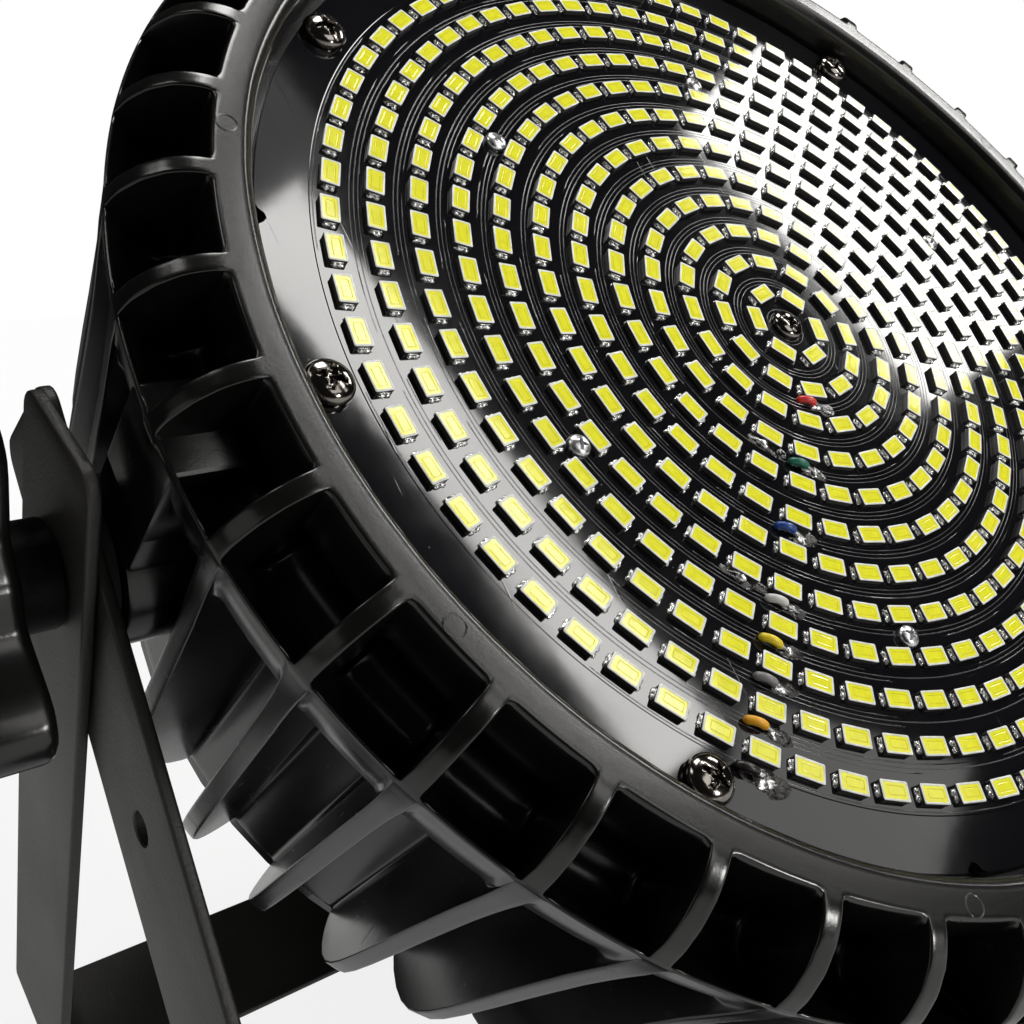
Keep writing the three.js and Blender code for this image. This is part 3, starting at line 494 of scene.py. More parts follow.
@finish
def phosphor(shade):
    n = Nodes("lamp_phosphor_%s" % shade)
    base = tuple(colours().lamp)
    # The edge shade is a darker yellow: painted shade on the sides of the groove in each window
    if shade == "edge":
        base = (base[0] * 0.82, base[1] * 0.80, base[2] * 0.7)
    cloud = n.noise(700, 3)
    drift = n.between(n.noise(40, 2), 0.45, 0.75, 0.0, 0.3)
    tone = n.mix(drift, n.cloudy(cloud, base, 0.95, 1.05), (base[0], base[1] * 0.97, base[2] * 2))
    n.set(Base_Color=tone, Roughness=n.between(cloud, 0.2, 0.8, 0.09, 0.15),
          Normal=n.bump(n.noise(600, 2), 0.06, 0.0001))
    return n.material


@finish
def metal(name, base, low, high, bump, scale):
    n = Nodes(name)
    cloud = n.noise(scale * 0.2, 4)
    fine = n.noise(scale, 4, 0.6)
    n.set(Base_Color=n.cloudy(cloud, base, 0.75, 1.1), Metallic=1.0,
          Roughness=n.between(fine, 0.25, 0.75, low, high), Normal=n.bump(fine, bump, 0.0002))
    return n.material


# Name, base colour, lowest and highest roughness, strength of the bump and scale of its grain
bright_steel = partial(metal, "zinc_plated_steel", (0.62, 0.62, 0.63), 0.22, 0.38, 0.12, 1500)
dark_chrome = partial(metal, "dark_polished_plating", (0.20, 0.185, 0.17), 0.07, 0.16, 0.10, 900)
solder = partial(metal, "bright_solder", (0.74, 0.74, 0.73), 0.16, 0.34, 0.45, 1400)
turned_brass = partial(metal, "turned_brass", (0.60, 0.44, 0.20), 0.24, 0.38, 0.12, 1200)
rolled_aluminium = partial(metal, "rolled_aluminium", (0.60, 0.61, 0.62), 0.30, 0.45, 0.15, 800)
case_steel = partial(metal, "case_sheet", (0.45, 0.46, 0.47), 0.30, 0.42, 0.12, 700)


@finish
def plain(name, base, low, high, grain, strength):
    n = Nodes(name)
    n.set(Base_Color=n.cloudy(n.noise(60, 4), base, 0.85, 1.15),
          Roughness=n.between(n.noise(300, 3), 0.3, 0.7, low, high),
          Normal=n.bump(n.noise(grain, 4, 0.6), strength, 0.0002))
    return n.material


# Name, base colour, lowest and highest roughness, scale of the grain and strength of its bump
# The lamps' side finish is near black: painted shade on the outer sides of their frames
lamp_side = partial(plain, "lamp_side", (0.035, 0.034, 0.030), 0.30, 0.42, 2500, 0.15)
soft_rubber = partial(plain, "soft_rubber", (0.012, 0.012, 0.012), 0.7, 0.85, 1800, 0.25)
grey_key = partial(plain, "key_plastic", (0.16, 0.17, 0.18), 0.38, 0.5, 2200, 0.2)
green_board = partial(plain, "green_solder_mask", (0.02, 0.11, 0.04), 0.25, 0.4, 500, 0.2)
red_lens = partial(plain, "display_lens", (0.05, 0.003, 0.004), 0.06, 0.12, 300, 0.05)
panel_print = partial(plain, "panel_print", (0.60, 0.60, 0.58), 0.42, 0.58, 1400, 0.15)
dim_segments = partial(plain, "display_segments", (0.17, 0.016, 0.014), 0.30, 0.42, 900, 0.1)


@finish
def bracket_paint():
    n = Nodes("bracket_powder_coat")
    base = tuple(colours().bracket)
    cloud = n.noise(24, 4)
    tone = n.cloudy(cloud, base, 0.85, 1.2)
    rub = n.between(n.noise(1.0, 3, 0.6, n.stretch((220, 40, 40), (0.3, 0.2, 0))), 0.62, 0.75)
    tone = n.mix(n.math("MULTIPLY", rub, 0.12), tone, (0.19, 0.185, 0.175))
    orange_peel = n.noise(1500, 4, 0.55)
    n.set(Base_Color=tone, Roughness=n.between(cloud, 0.2, 0.8, 0.44, 0.56),
          Normal=n.bump(orange_peel, 0.35, 0.0003))
    return n.material


WIRES = {
    "red": (0.62, 0.035, 0.025), "green": (0.010, 0.15, 0.095), "blue": (0.012, 0.055, 0.26),
    "white": (0.55, 0.55, 0.52), "yellow": (0.78, 0.60, 0.015), "grey": (0.23, 0.23, 0.23),
    "orange": (0.80, 0.38, 0.012), "black": (0.012, 0.010, 0.010),
}


def insulation(colour):
    return plain("insulation_" + colour, WIRES[colour], 0.28, 0.42, 900, 0.15)


@finish
def flux():
    n = Nodes("burnt_flux")
    cloud = n.noise(500, 4)
    tone = n.mix(n.between(cloud, 0.35, 0.7), (0.006, 0.005, 0.005), (0.030, 0.027, 0.024))
    n.set(Base_Color=tone, Roughness=n.between(cloud, 0.3, 0.7, 0.08, 0.35),
          Normal=n.bump(n.noise(900, 3), 0.5, 0.0003))
    return n.material


# Stage

SENSOR_WIDTH = 36
CAMERA_RIGHT = (0.78636, -0.61475, -0.06093)
CAMERA_UP = (0.17694, 0.12963, 0.97565)
CAMERA_PLACE = (-0.165961, -0.170001, 0.154133)
FLOOR_REACH = 6.0
FLOOR_THICK = 0.02
WARM_WHITE = (1.0, 0.985, 0.96)
# How much of its plain white the floor shows: distances in metres, and the shares at both
SEEN_SHARE = (0.2, 0.9, 0.86, 0.985)
MIRRORED_SHARE = (0.15, 0.75, 0.42, 0.02)
# Name, the setting with its radiance, a share of it, both ends of the middle line, width, length
STUDIO_LIGHTS = (
    ("strip_right", "strip", 1.0, (0.723, -0.027, 0.806), (0.861, -0.254, 0.558), 0.14, 0.36),
    ("strip_left", "strip", 0.8, (0.358, -0.199, 1.028), (0.594, -0.638, 0.617), 0.08, 0.66),
    ("strip_left_low", "strip", 0.13, (0.60, -0.64, 0.60), (0.78, -0.68, 0.40), 0.15, 0.22),
    ("overhead", "overhead", 1.0, (0.05, 0.12, 1.13), (0.37, 0.12, 1.13), 0.40, 0.32),
    ("strip_left_fade", "strip", 0.05, (0.318, -0.089, 1.114), (0.368, -0.181, 1.028), 0.15, 0.14),
    ("overhead_left", "overhead_left", 1.0, (-0.62, 0.05, 1.05), (-0.40, 0.05, 1.13), 0.40, 0.24),
    ("key", "key", 1.0, (0.25, -0.95, 0.25), (0.37, -0.93, 0.25), 0.12, 0.12),
    ("front", "front", 1.0, (0.10, -1.14, 0.81), (0.62, -0.95, 0.81), 0.55, 0.55),
    ("side_left", "side", 1.0, (-1.0, -0.55, 0.35), (-1.0, 0.15, 0.35), 0.5, 0.7),
)


class MakeStage(bpy.types.Operator):
    """Camera, floor, world and the studio lights."""
    bl_idname = "strobe.stage"
    bl_label = "Stage"

    def execute(self, context):
        stage = context.scene.strobe_stage
        camera = bpy.data.cameras.new("camera")
        camera.lens = stage.lens
        camera.sensor_width = SENSOR_WIDTH
        camera.clip_start = 0.005
        camera.clip_end = 50
        eye = bpy.data.objects.new("camera", camera)
        context.scene.collection.objects.link(eye)
        right, up = Vector(CAMERA_RIGHT).normalized(), Vector(CAMERA_UP)
        up = (up - up.dot(right) * right).normalized()
        eye.matrix_world = axes_matrix(right, up, right.cross(up), Vector(CAMERA_PLACE))
        context.scene.camera = eye

        context.scene.view_settings.view_transform = "Standard"

        world = bpy.data.worlds.new("studio")
        context.scene.world = world
        world.use_nodes = True
        nodes, links = world.node_tree.nodes, world.node_tree.links
        nodes.clear()
        out = nodes.new("ShaderNodeOutputWorld")
        seen = nodes.new("ShaderNodeBackground")
        seen.inputs["Color"].default_value = (1, 1, 1, 1)
        around = nodes.new("ShaderNodeBackground")
        around.inputs["Color"].default_value = (1.0, 0.99, 0.97, 1)
        around.inputs["Strength"].default_value = stage.ambient
        path = nodes.new("ShaderNodeLightPath")
        pick = nodes.new("ShaderNodeMixShader")
        links.new(path.outputs["Is Camera Ray"], pick.inputs["Fac"])
        links.new(around.outputs[0], pick.inputs[1])
        links.new(seen.outputs[0], pick.inputs[2])
        links.new(pick.outputs[0], out.inputs["Surface"])

        half = FLOOR_REACH
        floor = skin("floor", *box_loft(-half, half, -half, half, -FLOOR_THICK, 0, 0.004))
        n = Nodes("pale_floor")
        n.set(Base_Color=n.cloudy(n.noise(6, 4), tuple(stage.floor), 0.985, 1.0), Roughness=0.7,
              Normal=n.bump(n.noise(160, 3), 0.05, 0.0005))
        glow = n.add("ShaderNodeEmission")
        glow.inputs["Color"].default_value = (1, 1, 1, 1)
        path = n.add("ShaderNodeLightPath")
        pick = n.add("ShaderNodeMixShader")
        spot = n.add("ShaderNodeVectorMath", operation="LENGTH")
        n.link(n.coords, spot.inputs[0])
        away = spot.outputs["Value"]
        seen = n.math("MULTIPLY", path.outputs["Is Camera Ray"], n.between(away, *SEEN_SHARE))
        mirrored = n.math("MULTIPLY", path.outputs["Is Glossy Ray"], n.between(away, *MIRRORED_SHARE))
        n.link(n.math("MAXIMUM", seen, mirrored), pick.inputs["Fac"])
        n.link(n.shader.outputs[0], pick.inputs[1])
        n.link(glow.outputs[0], pick.inputs[2])
        n.link(pick.outputs[0], n.tree.nodes["Material Output"].inputs["Surface"])
        floor.data.materials.append(n.material)

        for name, setting, share, a, b, width, length in STUDIO_LIGHTS:
            a, b = Vector(a), Vector(b)
            radiance = share * getattr(stage, setting)
            lamp = bpy.data.lights.new(name, "AREA")
            lamp.shape = "RECTANGLE"
            lamp.size = length
            lamp.size_y = width
            lamp.energy = radiance * math.pi * width * length
            lamp.color = WARM_WHITE
            obj = bpy.data.objects.new(name, lamp)
            context.scene.collection.objects.link(obj)
            along = (b - a).normalized()
            middle = (a + b) / 2
            back = middle - PIVOT
            back = (back - back.dot(along) * along).normalized()
            obj.matrix_world = axes_matrix(along, back.cross(along), back, middle)
        return {"FINISHED"}


# Can

# Profile points are radius and height in mm, from the board's side of the ring round to its back.
RING_ROWS = [
    (96.5, -2.85), (96.5, 1.0), (96.5, 3.55), (96.58, 3.9), (96.85, 4.3), (97.4, 4.85), (97.75, 5.13),
    (98.2, 5.28), (98.9, 5.3), (100.4, 5.3), (101.6, 5.3),
]
LIP_ROWS = range(2, 7)    # those of the rows that waver a little
# Rows from the ring to the ridge: a point on the crest of a rib, and one in the pocket beside it.
RIB_ROWS = [
    ((102.1, 5.3), (101.95, 5.3)),
    ((102.6, 5.3), (102.25, 5.24)),
    ((103.0, 5.3), (102.47, 5.06)),
    ((103.4, 5.29), (102.58, 4.78)),
    ((103.8, 5.27), (102.62, 4.4)),
    ((104.3, 5.21), (102.66, 3.4)),
    ((105.0, 5.06), (102.68, 1.8)),
    ((105.9, 4.80), (102.66, 0.0)),
    ((107.1, 4.34), (102.64, -2.0)),
    ((108.3, 3.76), (102.6, -3.8)),
    ((109.11, 3.11), (102.48, -4.4)),
    ((109.78, 2.6), (102.1, -4.85)),
    ((110.48, 2.03), (101.5, -5.4)),
    ((111.18, 1.36), (101.15, -6.6)),
    ((111.75, 0.62), (101.15, -8.2)),
    ((112.36, -0.2), (101.7, -9.8)),
    ((112.94, -1.0), (102.9, -11.1)),
    ((113.4, -1.75), (104.5, -11.9)),
    ((113.7, -2.45), (106.3, -12.1)),
    ((113.93, -3.05), (108.1, -11.6)),
    ((114.08, -3.5), (109.7, -10.6)),
    ((114.18, -3.8), (111.1, -9.3)),
    ((114.24, -3.98), (112.3, -7.9)),
    ((114.28, -4.1), (113.15, -6.7)),
    ((114.3, -4.2), (113.55, -5.8)),
    ((114.31, -4.28), (113.7, -5.0)),
    ((114.32, -4.36), (113.8, -4.62)),
]
RIDGE_ROWS = [
    ((114.34, -4.45), (113.97, -4.42)), ((114.37, -4.6), (114.16, -4.38)), ((114.4, -4.8), (114.32, -4.46)),
    ((114.4, -5.1), (114.38, -4.68)), ((114.38, -5.6), (114.34, -5.0)), ((114.3, -6.4), (114.15, -5.7)),
]
FIN_ROWS = [
    ((114.2, -7.5), (113.9, -7.2)),
    ((114.0, -10), (113.2, -10.0)),
    ((113.5, -14), (111.4, -15.0)),
    ((113.0, -18.5), (108.6, -18.4)),
    ((112.3, -25), (104.2, -22.6)),
    ((111.5, -35), (98.6, -29)),
    ((110.9, -43), (93.6, -36.5)),
    ((110.3, -52), (91.1, -42.5)),
    ((109.3, -65), (90.6, -52)),
    ((108.5, -73), (90.5, -64)),
    ((107.5, -79), (90.5, -72)),
    ((106.0, -84), (90.5, -80)),
    ((103.7, -89), (90.5, -87)),
    ((100.4, -94), (90.5, -92)),
    ((96.4, -98.6), (90.5, -96.5)),
    ((93.2, -101.4), (90.5, -100)),
    ((91.2, -102.5), (90.5, -101.8)),
]
INNER_ROWS = [
    (90.4, -102.7), (90.1, -103), (88.4, -103), (88.0, -102.6), (88.0, -70), (88.0, -40), (94.0, -27),
    (100.2, -16.5), (100.2, -8.2), (99.8, -6.95), (95, -6.85), (86.6, -6.85), (86.4, -6.6), (86.4, -3.1),
    (86.6, -2.85), (92, -2.85),
]
# Across half a rib: how far in from its side a column stands, a share of the half where over 0.5 and
# else in mm, and how deep below the crest.
CREST_COLUMNS = (
    (1.0, 0.0), (0.62, 0.0), (0.40, 0.0), (0.25, 0.035), (0.12, 0.10), (0.03, 0.22), (0.0, 0.40),
)
# Beside the rib: how far out from its side, and how high above the pocket's floor.
FOOT_COLUMNS = ((0.01, 1.4), (0.10, 0.75), (0.32, 0.30), (0.70, 0.07), (1.2, 0.0))
POCKET_SHARES = (0.2, 0.45, 0.72, 1.0)
MOST_OF_FLANK = 0.45    # a column's depth or height is at most this share of the flank
RIB_HALF = 1.45
FLARE = 0.45        # how much wider half a rib grows where it meets the ridge
FIN_HALF = 1.6
LIP_WAVES = ((3, 0.035, 0.4), (7, 0.03, 2.1), (13, 0.025, 4.0), (29, 0.02, 1.0), (61, 0.015, 5.0))


def can_rows():
    """Rib profile, pocket profile and half width of the rib for each row."""
    rows = [(p, p, RIB_HALF) for p in RING_ROWS]
    last = len(RIB_ROWS) - 1
    rows += [(r, p, RIB_HALF + FLARE * (i / last) ** 9) for i, (r, p) in enumerate(RIB_ROWS)]
    rows += [(r, p, RIB_HALF + FLARE) for r, p in RIDGE_ROWS]
    wider = RIB_HALF + FLARE - FIN_HALF
    rows += [(r, p, FIN_HALF + wider * max(0.0, 1 - i / 2.5)) for i, (r, p) in enumerate(FIN_ROWS)]
    rows += [(p, p, FIN_HALF) for p in INNER_ROWS]
    return rows


def lip_wave(angle):
    """Small unevenness of the ring's inner lip, in mm."""
    return sum(size * math.sin(times * angle + start) for times, size, start in LIP_WAVES)


def can_skin(count):
    """Rows along the profile, columns round the can: ribs in front of the ridge, fins behind it."""
    period = TURN / count
    rows = []
    fins_from = len(RING_ROWS) + len(RIB_ROWS) + len(RIDGE_ROWS)
    fins_to = fins_from + len(FIN_ROWS)
    for i, (top, low, half) in enumerate(can_rows()):
        row = []
        top, low = Vector(top), Vector(low)
        drop = (low - top).length
        for rib in range(count):
            at_boss = rib % (count // 2) == 0 and fins_from <= i < fins_to
            flat = drop < 1e-6 or at_boss
            side = []
            for inset, depth in CREST_COLUMNS:
                inset = half * inset if inset > 0.5 else inset
                p = low if flat else top + (low - top) * min(depth / drop, MOST_OF_FLANK)
                side.append((p, math.asin((half - inset) / p.x)))
            for out, height in FOOT_COLUMNS:
                p = low if flat else low + (top - low) * min(height / drop, MOST_OF_FLANK)
                side.append((p, math.asin((half + out) / p.x)))
            edge = side[-1][1]
            for share in POCKET_SHARES:
                side.append((low, edge + (period / 2 - edge) * share))
            left = [(p, -angle) for p, angle in reversed(side[1:-1])]
            for p, angle in left + side:
                a = rib * period + angle
                r = p.x
                if i in LIP_ROWS:
                    r += lip_wave(a)
                row.append((r * math.cos(a) * MM, r * math.sin(a) * MM, p.y * MM))
        rows.append(row)
    return loft(rows, close=True)


def on_side(sign, verts):
    """Turns points given along +x to the left side when the sign is -1."""
    return [(sign * x, sign * y, z) for x, y, z in verts]


def on_axis(profile, sides=48, sign=1, close=False):
    """Lathe about the tilt axis: profile of place along x and radius."""
    def place(r, h, a):
        return (sign * h, sign * r * math.cos(a), -AXIS_BACK + r * math.sin(a))
    return lathe([(r, x) for x, r in profile], sides, place, close)


# Of a tilt boss: place along x and radius in mm
BOSS = (
    (89.6, TIP / 2), (89.6, 12.5), (113.6, 12.5), (114.1, 12.3), (114.3, 11.9), (114.3, 6.7),
    (114.1, 6.35), (113.8, 6.25), (101.05, 6.25), (101.05, TIP / 2),
)
BOSS_FOOT = (
    (89.7, TIP / 2), (89.7, 16.5), (90.9, 15.2), (92.6, 13.7), (95.5, 12.8), (98, 12.52), (98, TIP / 2),
)
# Its webs: from and to along x, half the width, from and to along the head's axis
BOSS_WEBS = ((89.7, 114.1, 7.1, -44.2, -21.4), (103.2, 114.1, 7.1, -22.6, -5.8))


class MakeCan(bpy.types.Operator):
    """Moulded can with its front ring, ribs, pockets, ridge, fins and both tilt bosses."""
    bl_idname = "strobe.can"
    bl_label = "Can"

    def execute(self, context):
        head = context.scene.strobe_head
        verts, faces = can_skin(head.rib_count)
        parts = [on_axis(BOSS), on_axis(BOSS_FOOT)]
        parts += [box_loft(x0, x1, -half, half, z0, z1, 0.7) for x0, x1, half, z0, z1 in BOSS_WEBS]
        for sign in (1, -1):
            for v, f in parts:
                add_to((verts, faces), scaled(on_side(sign, v)), f)
        obj = skin("can_shell", verts, faces, sharp=38)
        settle(obj, "head", "black_plastic", moulded_black(), "head_shell")
        return {"FINISHED"}


# Lamp board, in mm

BOARD_BACK = -2.6
BOARD_FRONT = -1.0
NOTCHES = (math.radians(162.4), math.radians(-107.4))
NOTCH_DEEP = 1.6
NOTCH_HALF = 1.7
FIRST_LAMP = math.radians(-15)
# Rows of a lamp's frame and of its window: how much shorter and narrower they are than the body or
# the window, the cut off corner, the height and the shift along the length
FRAME_ROWS = (
    (0.10, 0.10, 0.12, -1.02, 0), (0.10, 0.10, 0.12, -0.50, 0), (0, 0, 0.16, -0.46, 0),
    (0.02, 0.02, 0.16, -0.07, 0), (0.16, 0.16, 0.16, 0.0, 0), (0.62, 0.54, 0.22, 0.0, 0),
    (0.78, 0.70, 0.24, -0.10, 0),
)
WINDOW_ROWS = (
    (0, 0, 0.2, -0.14, 0), (0, 0, 0.2, -0.055, 0), (1.05, 0.86, 0.12, -0.05, 0.12),
    (1.17, 0.98, 0.12, -0.075, 0.12), (1.33, 1.14, 0.12, -0.075, 0.12), (1.45, 1.26, 0.10, -0.05, 0.12),
)
WINDOW_SHORTER = 0.72
WINDOW_NARROWER = 0.64
CORNERS = 8    # points of a rectangle with cut corners
# Material of each face: painted shade on the frame's outer sides and bottom, and on the groove's sides in
# the window
PAINTED_SHADE_SIDES = [1] * 3 * CORNERS + [0] * 3 * CORNERS + [1, 0]
PAINTED_SHADE_GROOVE = [int(row in (2, 3) and side < 5) for row in range(5) for side in range(CORNERS)] + [0, 0]


def lamp_spots(head):
    """Radius in mm, angle, for each lamp."""
    for ring in range(1, head.lamp_rings + 1):
        count = 6 * ring
        for i in range(count):
            yield head.lamp_pitch / MM * ring, FIRST_LAMP + TURN * i / count


def cut_rectangles(length, width, rows):
    """Loft of rectangles with cut corners: x is the width, y the length."""
    rings = []
    for shorter, narrower, c, z, aside in rows:
        a, b = (width - narrower) / 2, (length - shorter) / 2
        rings.append([(x, aside + y, z) for x, y in (
            (a, -b + c), (a, b - c), (a - c, b), (-a + c, b),
            (-a, b - c), (-a, -b + c), (-a + c, -b), (a - c, -b))])
    return loft(rings)


def placed(verts, radius, angle, turn=0.0, shift=(0, 0), lift=0.0):
    """Points of a lamp's own frame, x outwards and y along the ring, set on the board."""
    ca, sa = math.cos(turn), math.sin(turn)
    c, s = math.cos(angle), math.sin(angle)
    out = []
    for x, y, z in verts:
        u = radius + shift[0] + x * ca - y * sa
        v = shift[1] + x * sa + y * ca
        out.append(((u * c - v * s) * MM, (u * s + v * c) * MM, (z + lift) * MM))
    return out


def lump(rng, sx, sy, sz, place=(0, 0, 0), sides=9, rings=4, rough=0.18):
    """An uneven half drop that sits on the board."""
    rows = []
    waves = [(rng.uniform(1, 3), rng.uniform(0, TURN), rng.uniform(-rough, rough)) for _ in range(3)]
    for i in range(rings + 1):
        a = math.pi / 2 * i / rings
        r, h = math.cos(a), math.sin(a)
        row = []
        for j in range(sides):
            t = TURN * j / sides
            k = 1 + sum(w * math.cos(round(f) * t + p) for f, p, w in waves)
            k += rng.uniform(-rough, rough) * 0.4
            row.append((place[0] + sx * max(r, 0.03) * k * math.cos(t),
                        place[1] + sy * max(r, 0.03) * k * math.sin(t), place[2] + sz * h))
        rows.append(row)
    return loft(rows)


class MakeLampBoard(bpy.types.Operator):
    """Glossy board with its two key notches in the rim."""
    bl_idname = "strobe.lamp_board"
    bl_label = "Lamp board"

    def execute(self, context):
        head = context.scene.strobe_head
        radius = head.board_radius / MM

        def place(r, h, a):
            if r > radius - 1:
                for at in NOTCHES:
                    off = abs((a - at + math.pi) % TURN - math.pi) * radius
                    r -= NOTCH_DEEP * max(0.0, 1 - (off / NOTCH_HALF) ** 2)
            return (r * math.cos(a), r * math.sin(a), h)

        profile = [(TIP, BOARD_BACK), (radius - 0.1, BOARD_BACK), (radius, BOARD_BACK + 0.1),
                   (radius, BOARD_FRONT - 0.1), (radius - 0.1, BOARD_FRONT), (TIP, BOARD_FRONT)]
        disc = lathe(profile, 720, place, close=False)
        piece("lamp_board_disc", disc, "head", "board_gloss", gloss_board(), "lamp_board")
        return {"FINISHED"}


class MakeLamps(bpy.types.Operator):
    """The lamps: white frames, yellow windows and soldered ends."""
    bl_idname = "strobe.lamps"
    bl_label = "Lamps"

    def execute(self, context):
        head = context.scene.strobe_head
        rng = random.Random(SEED)
        length, width = head.lamp_length / MM, head.lamp_width / MM
        frame_v, frame_f = cut_rectangles(length, width, FRAME_ROWS)
        window_v, window_f = cut_rectangles(length - WINDOW_SHORTER, width - WINDOW_NARROWER, WINDOW_ROWS)
        frames, windows, joints = ([], []), ([], []), ([], [])
        spots = list(lamp_spots(head))
        for radius, angle in spots:
            turn = rng.gauss(0, 0.012)
            shift = (rng.gauss(0, 0.05), rng.gauss(0, 0.06))
            lift = rng.uniform(-0.02, 0.0)
            spot = (radius, angle, turn, shift)
            add_to(frames, placed(frame_v, *spot, lift), frame_f)
            add_to(windows, placed(window_v, *spot, lift), window_f)
            for end in (-1, 1):
                # A pad on the board, then the lamp's own plated end
                for half, z0, z1, edge, back, out in (
                    (0.95, BOARD_FRONT, -0.80, 0.05, 0.25, 0.34), (0.9, -0.98, -0.42, 0.04, 0.1, 0.10),
                ):
                    y0, y1 = sorted((end * (length / 2 - back), end * (length / 2 + out)))
                    v, f = box_loft(-half, half, y0, y1, z0, z1, edge, 1)
                    add_to(joints, placed(v, *spot), f)
                for side in (-0.5, 0.5):
                    high = rng.uniform(0.28, 0.5)
                    place = (side + rng.uniform(-0.12, 0.12), end * (length / 2 + 0.16), BOARD_FRONT)
                    v, f = lump(rng, 0.62, 0.34, high, place, 7, 3, 0.25)
                    add_to(joints, placed(v, *spot), f)
        # Outer sides and bottom of each frame take the near-black side finish, as painted shade
        obj = skin("lamp_frames", *frames, indices=PAINTED_SHADE_SIDES * len(spots), sharp=40)
        settle(obj, "head", "lamp_white", lamp_frame())
        obj.data.materials.append(lamp_side())
        # The groove's sides take the darker edge yellow, as painted shade
        obj = skin("lamp_windows", *windows, indices=PAINTED_SHADE_GROOVE * len(spots), sharp=12)
        obj.data.materials.append(phosphor("face"))
        settle(obj, "head", "lamp_yellow", phosphor("edge"))
        settle(skin("lamp_solder_ends", *joints, sharp=60), "head", "solder", solder())
        return {"FINISHED"}


def cross_head(radius, height, sides=112, rings=34):
    """Domed head with a cross recess, standing on z = 0."""
    reach, width, deep = 0.60 * radius, 0.155 * radius, 0.62 * height

    def recess(x, y):
        best = 0.0
        for u, v in ((abs(x), abs(y)), (abs(y), abs(x))):
            half = width * (1 - 0.42 * u / reach)
            side = min(1.0, max(0.0, (half - v) / (0.035 * radius) + 0.5))
            end = min(1.0, max(0.0, (reach - u) / (0.10 * radius)))
            best = max(best, side * end)
        core = max(0.0, 1 - math.hypot(x, y) / (0.27 * radius))
        return best * deep * (0.75 + 0.25 * min(1.0, core * 2))

    turns = [TURN * j / sides for j in range(sides)]
    rows = [[(0.98 * radius * math.cos(a), 0.98 * radius * math.sin(a), 0.0) for a in turns]]
    for i in range(rings + 1):
        s = i / rings
        share = math.sqrt(max(0.0, 1 - s * s)) if s < 0.5 else math.sqrt(0.75) * (1 - (s - 0.5) / 0.5)
        r = max(radius * share, 0.004 * radius)
        dome = height * (0.34 + 0.66 * math.sqrt(max(0.0, 1 - (r / radius) ** 2.4)))
        if i == 0:
            dome = height * 0.12
        spots = [(r * math.cos(a), r * math.sin(a)) for a in turns]
        rows.append([(x, y, dome - recess(x, y)) for x, y in spots])
    return loft(rows)


# Start of the names, number, radius and first angle of their circle, radius and height of the head, level
# that it stands on, way that it faces, slot and finish
SCREWS = (
    ("board_edge_screw_", 8, 91.5, 0.0, 3.6, 2.5, BOARD_FRONT, 1, "black_chrome", dark_chrome),
    ("board_inner_screw_", 6, 59.5, 15.0, 1.9, 1.4, BOARD_FRONT, 1, "bright_steel", bright_steel),
    ("board_centre_screw", 1, 0.0, 0.0, 3.0, 1.9, BOARD_FRONT, 1, "black_chrome", dark_chrome),
    ("cover_screw_", 4, 81.5, 45.0, 3.1, 2.1, PANEL, -1, "bright_steel", bright_steel),
)
SHANK = ((TIP, -4.5), (1.2, -4.5), (1.4, -4.1), (1.4, 0.1), (TIP, 0.1))


class MakeBoardScrews(bpy.types.Operator):
    """Cross-head screws of the lamp board and of the rear cover."""
    bl_idname = "strobe.screws"
    bl_label = "Screws"

    def execute(self, context):
        rng = random.Random(SEED + 1)
        shank = lathe(SHANK, 16, close=False)
        for stem, count, circle, start, radius, height, level, way, slot, look in SCREWS:
            dome = cross_head(radius, height)
            for i in range(count):
                node = stem + (str(i + 1) if count > 1 else "")
                a = math.radians(start) + TURN * i / count
                spin = rng.uniform(0, math.pi / 2)
                m = Matrix.Translation((circle * math.cos(a), circle * math.sin(a), level))
                m = m @ Matrix.Rotation(spin, 4, "Z")
                if way < 0:
                    m = m @ Matrix.Rotation(math.pi, 4, "X")
                store = ([], [])
                for v, f in (dome, shank):
                    add_to(store, [tuple(m @ Vector(p)) for p in v], f)
                piece(node + "_head", store, "head", slot, look(), node, sharp=50)
        return {"FINISHED"}


# Wire ends: colour, place on the board in mm
WIRE_ENDS = (
    ("red", -6.6, -15.3), ("green", -16.9, -25.9), ("blue", -27.5, -35.6), ("white", -37.2, -45.8),
    ("yellow", -42.4, -51.0), ("grey", -47.0, -55.7), ("orange", -52.5, -60.5), ("black", -57.8, -65.4),
)
BARE_JOINTS = ((-21.6, -20.9), (-40.9, -40.6))
# Course of a wire's end and of its solder, in mm: along the ring, outwards and up
WIRE_COURSE = (
    (0, -1.75, -0.95), (0.05, -1.45, -0.45), (0.1, -0.7, 0.05), (0.1, 0.2, 0.15), (0.0, 1.1, -0.2),
    (-0.1, 1.7, -0.7),
)
SOLDER_COURSE = (
    (0, 1.2, -0.25), (-0.05, 1.9, -0.5), (-0.1, 2.7, -0.72), (-0.1, 3.6, -0.9), (-0.15, 4.4, -1.0),
)
WIRE_RADIUS = 0.66
SOLDER_RADIUS = 0.52
BLACK_JOINT = 1.7    # the black wire's joint is this much bigger
# Burnt spots beside a bare joint: place, half sizes and height
BARE_BURNS = (
    ((0.3, 1.6, BOARD_FRONT), 0.9, 1.5, 0.25), ((-0.2, 2.6, BOARD_FRONT), 1.2, 1.9, 0.10),
    ((0.2, -1.8, BOARD_FRONT), 0.8, 1.2, 0.12),
)


def on_board(x, y):
    """Radius and angle of a place on the board."""
    return math.hypot(x, y), math.atan2(y, x)


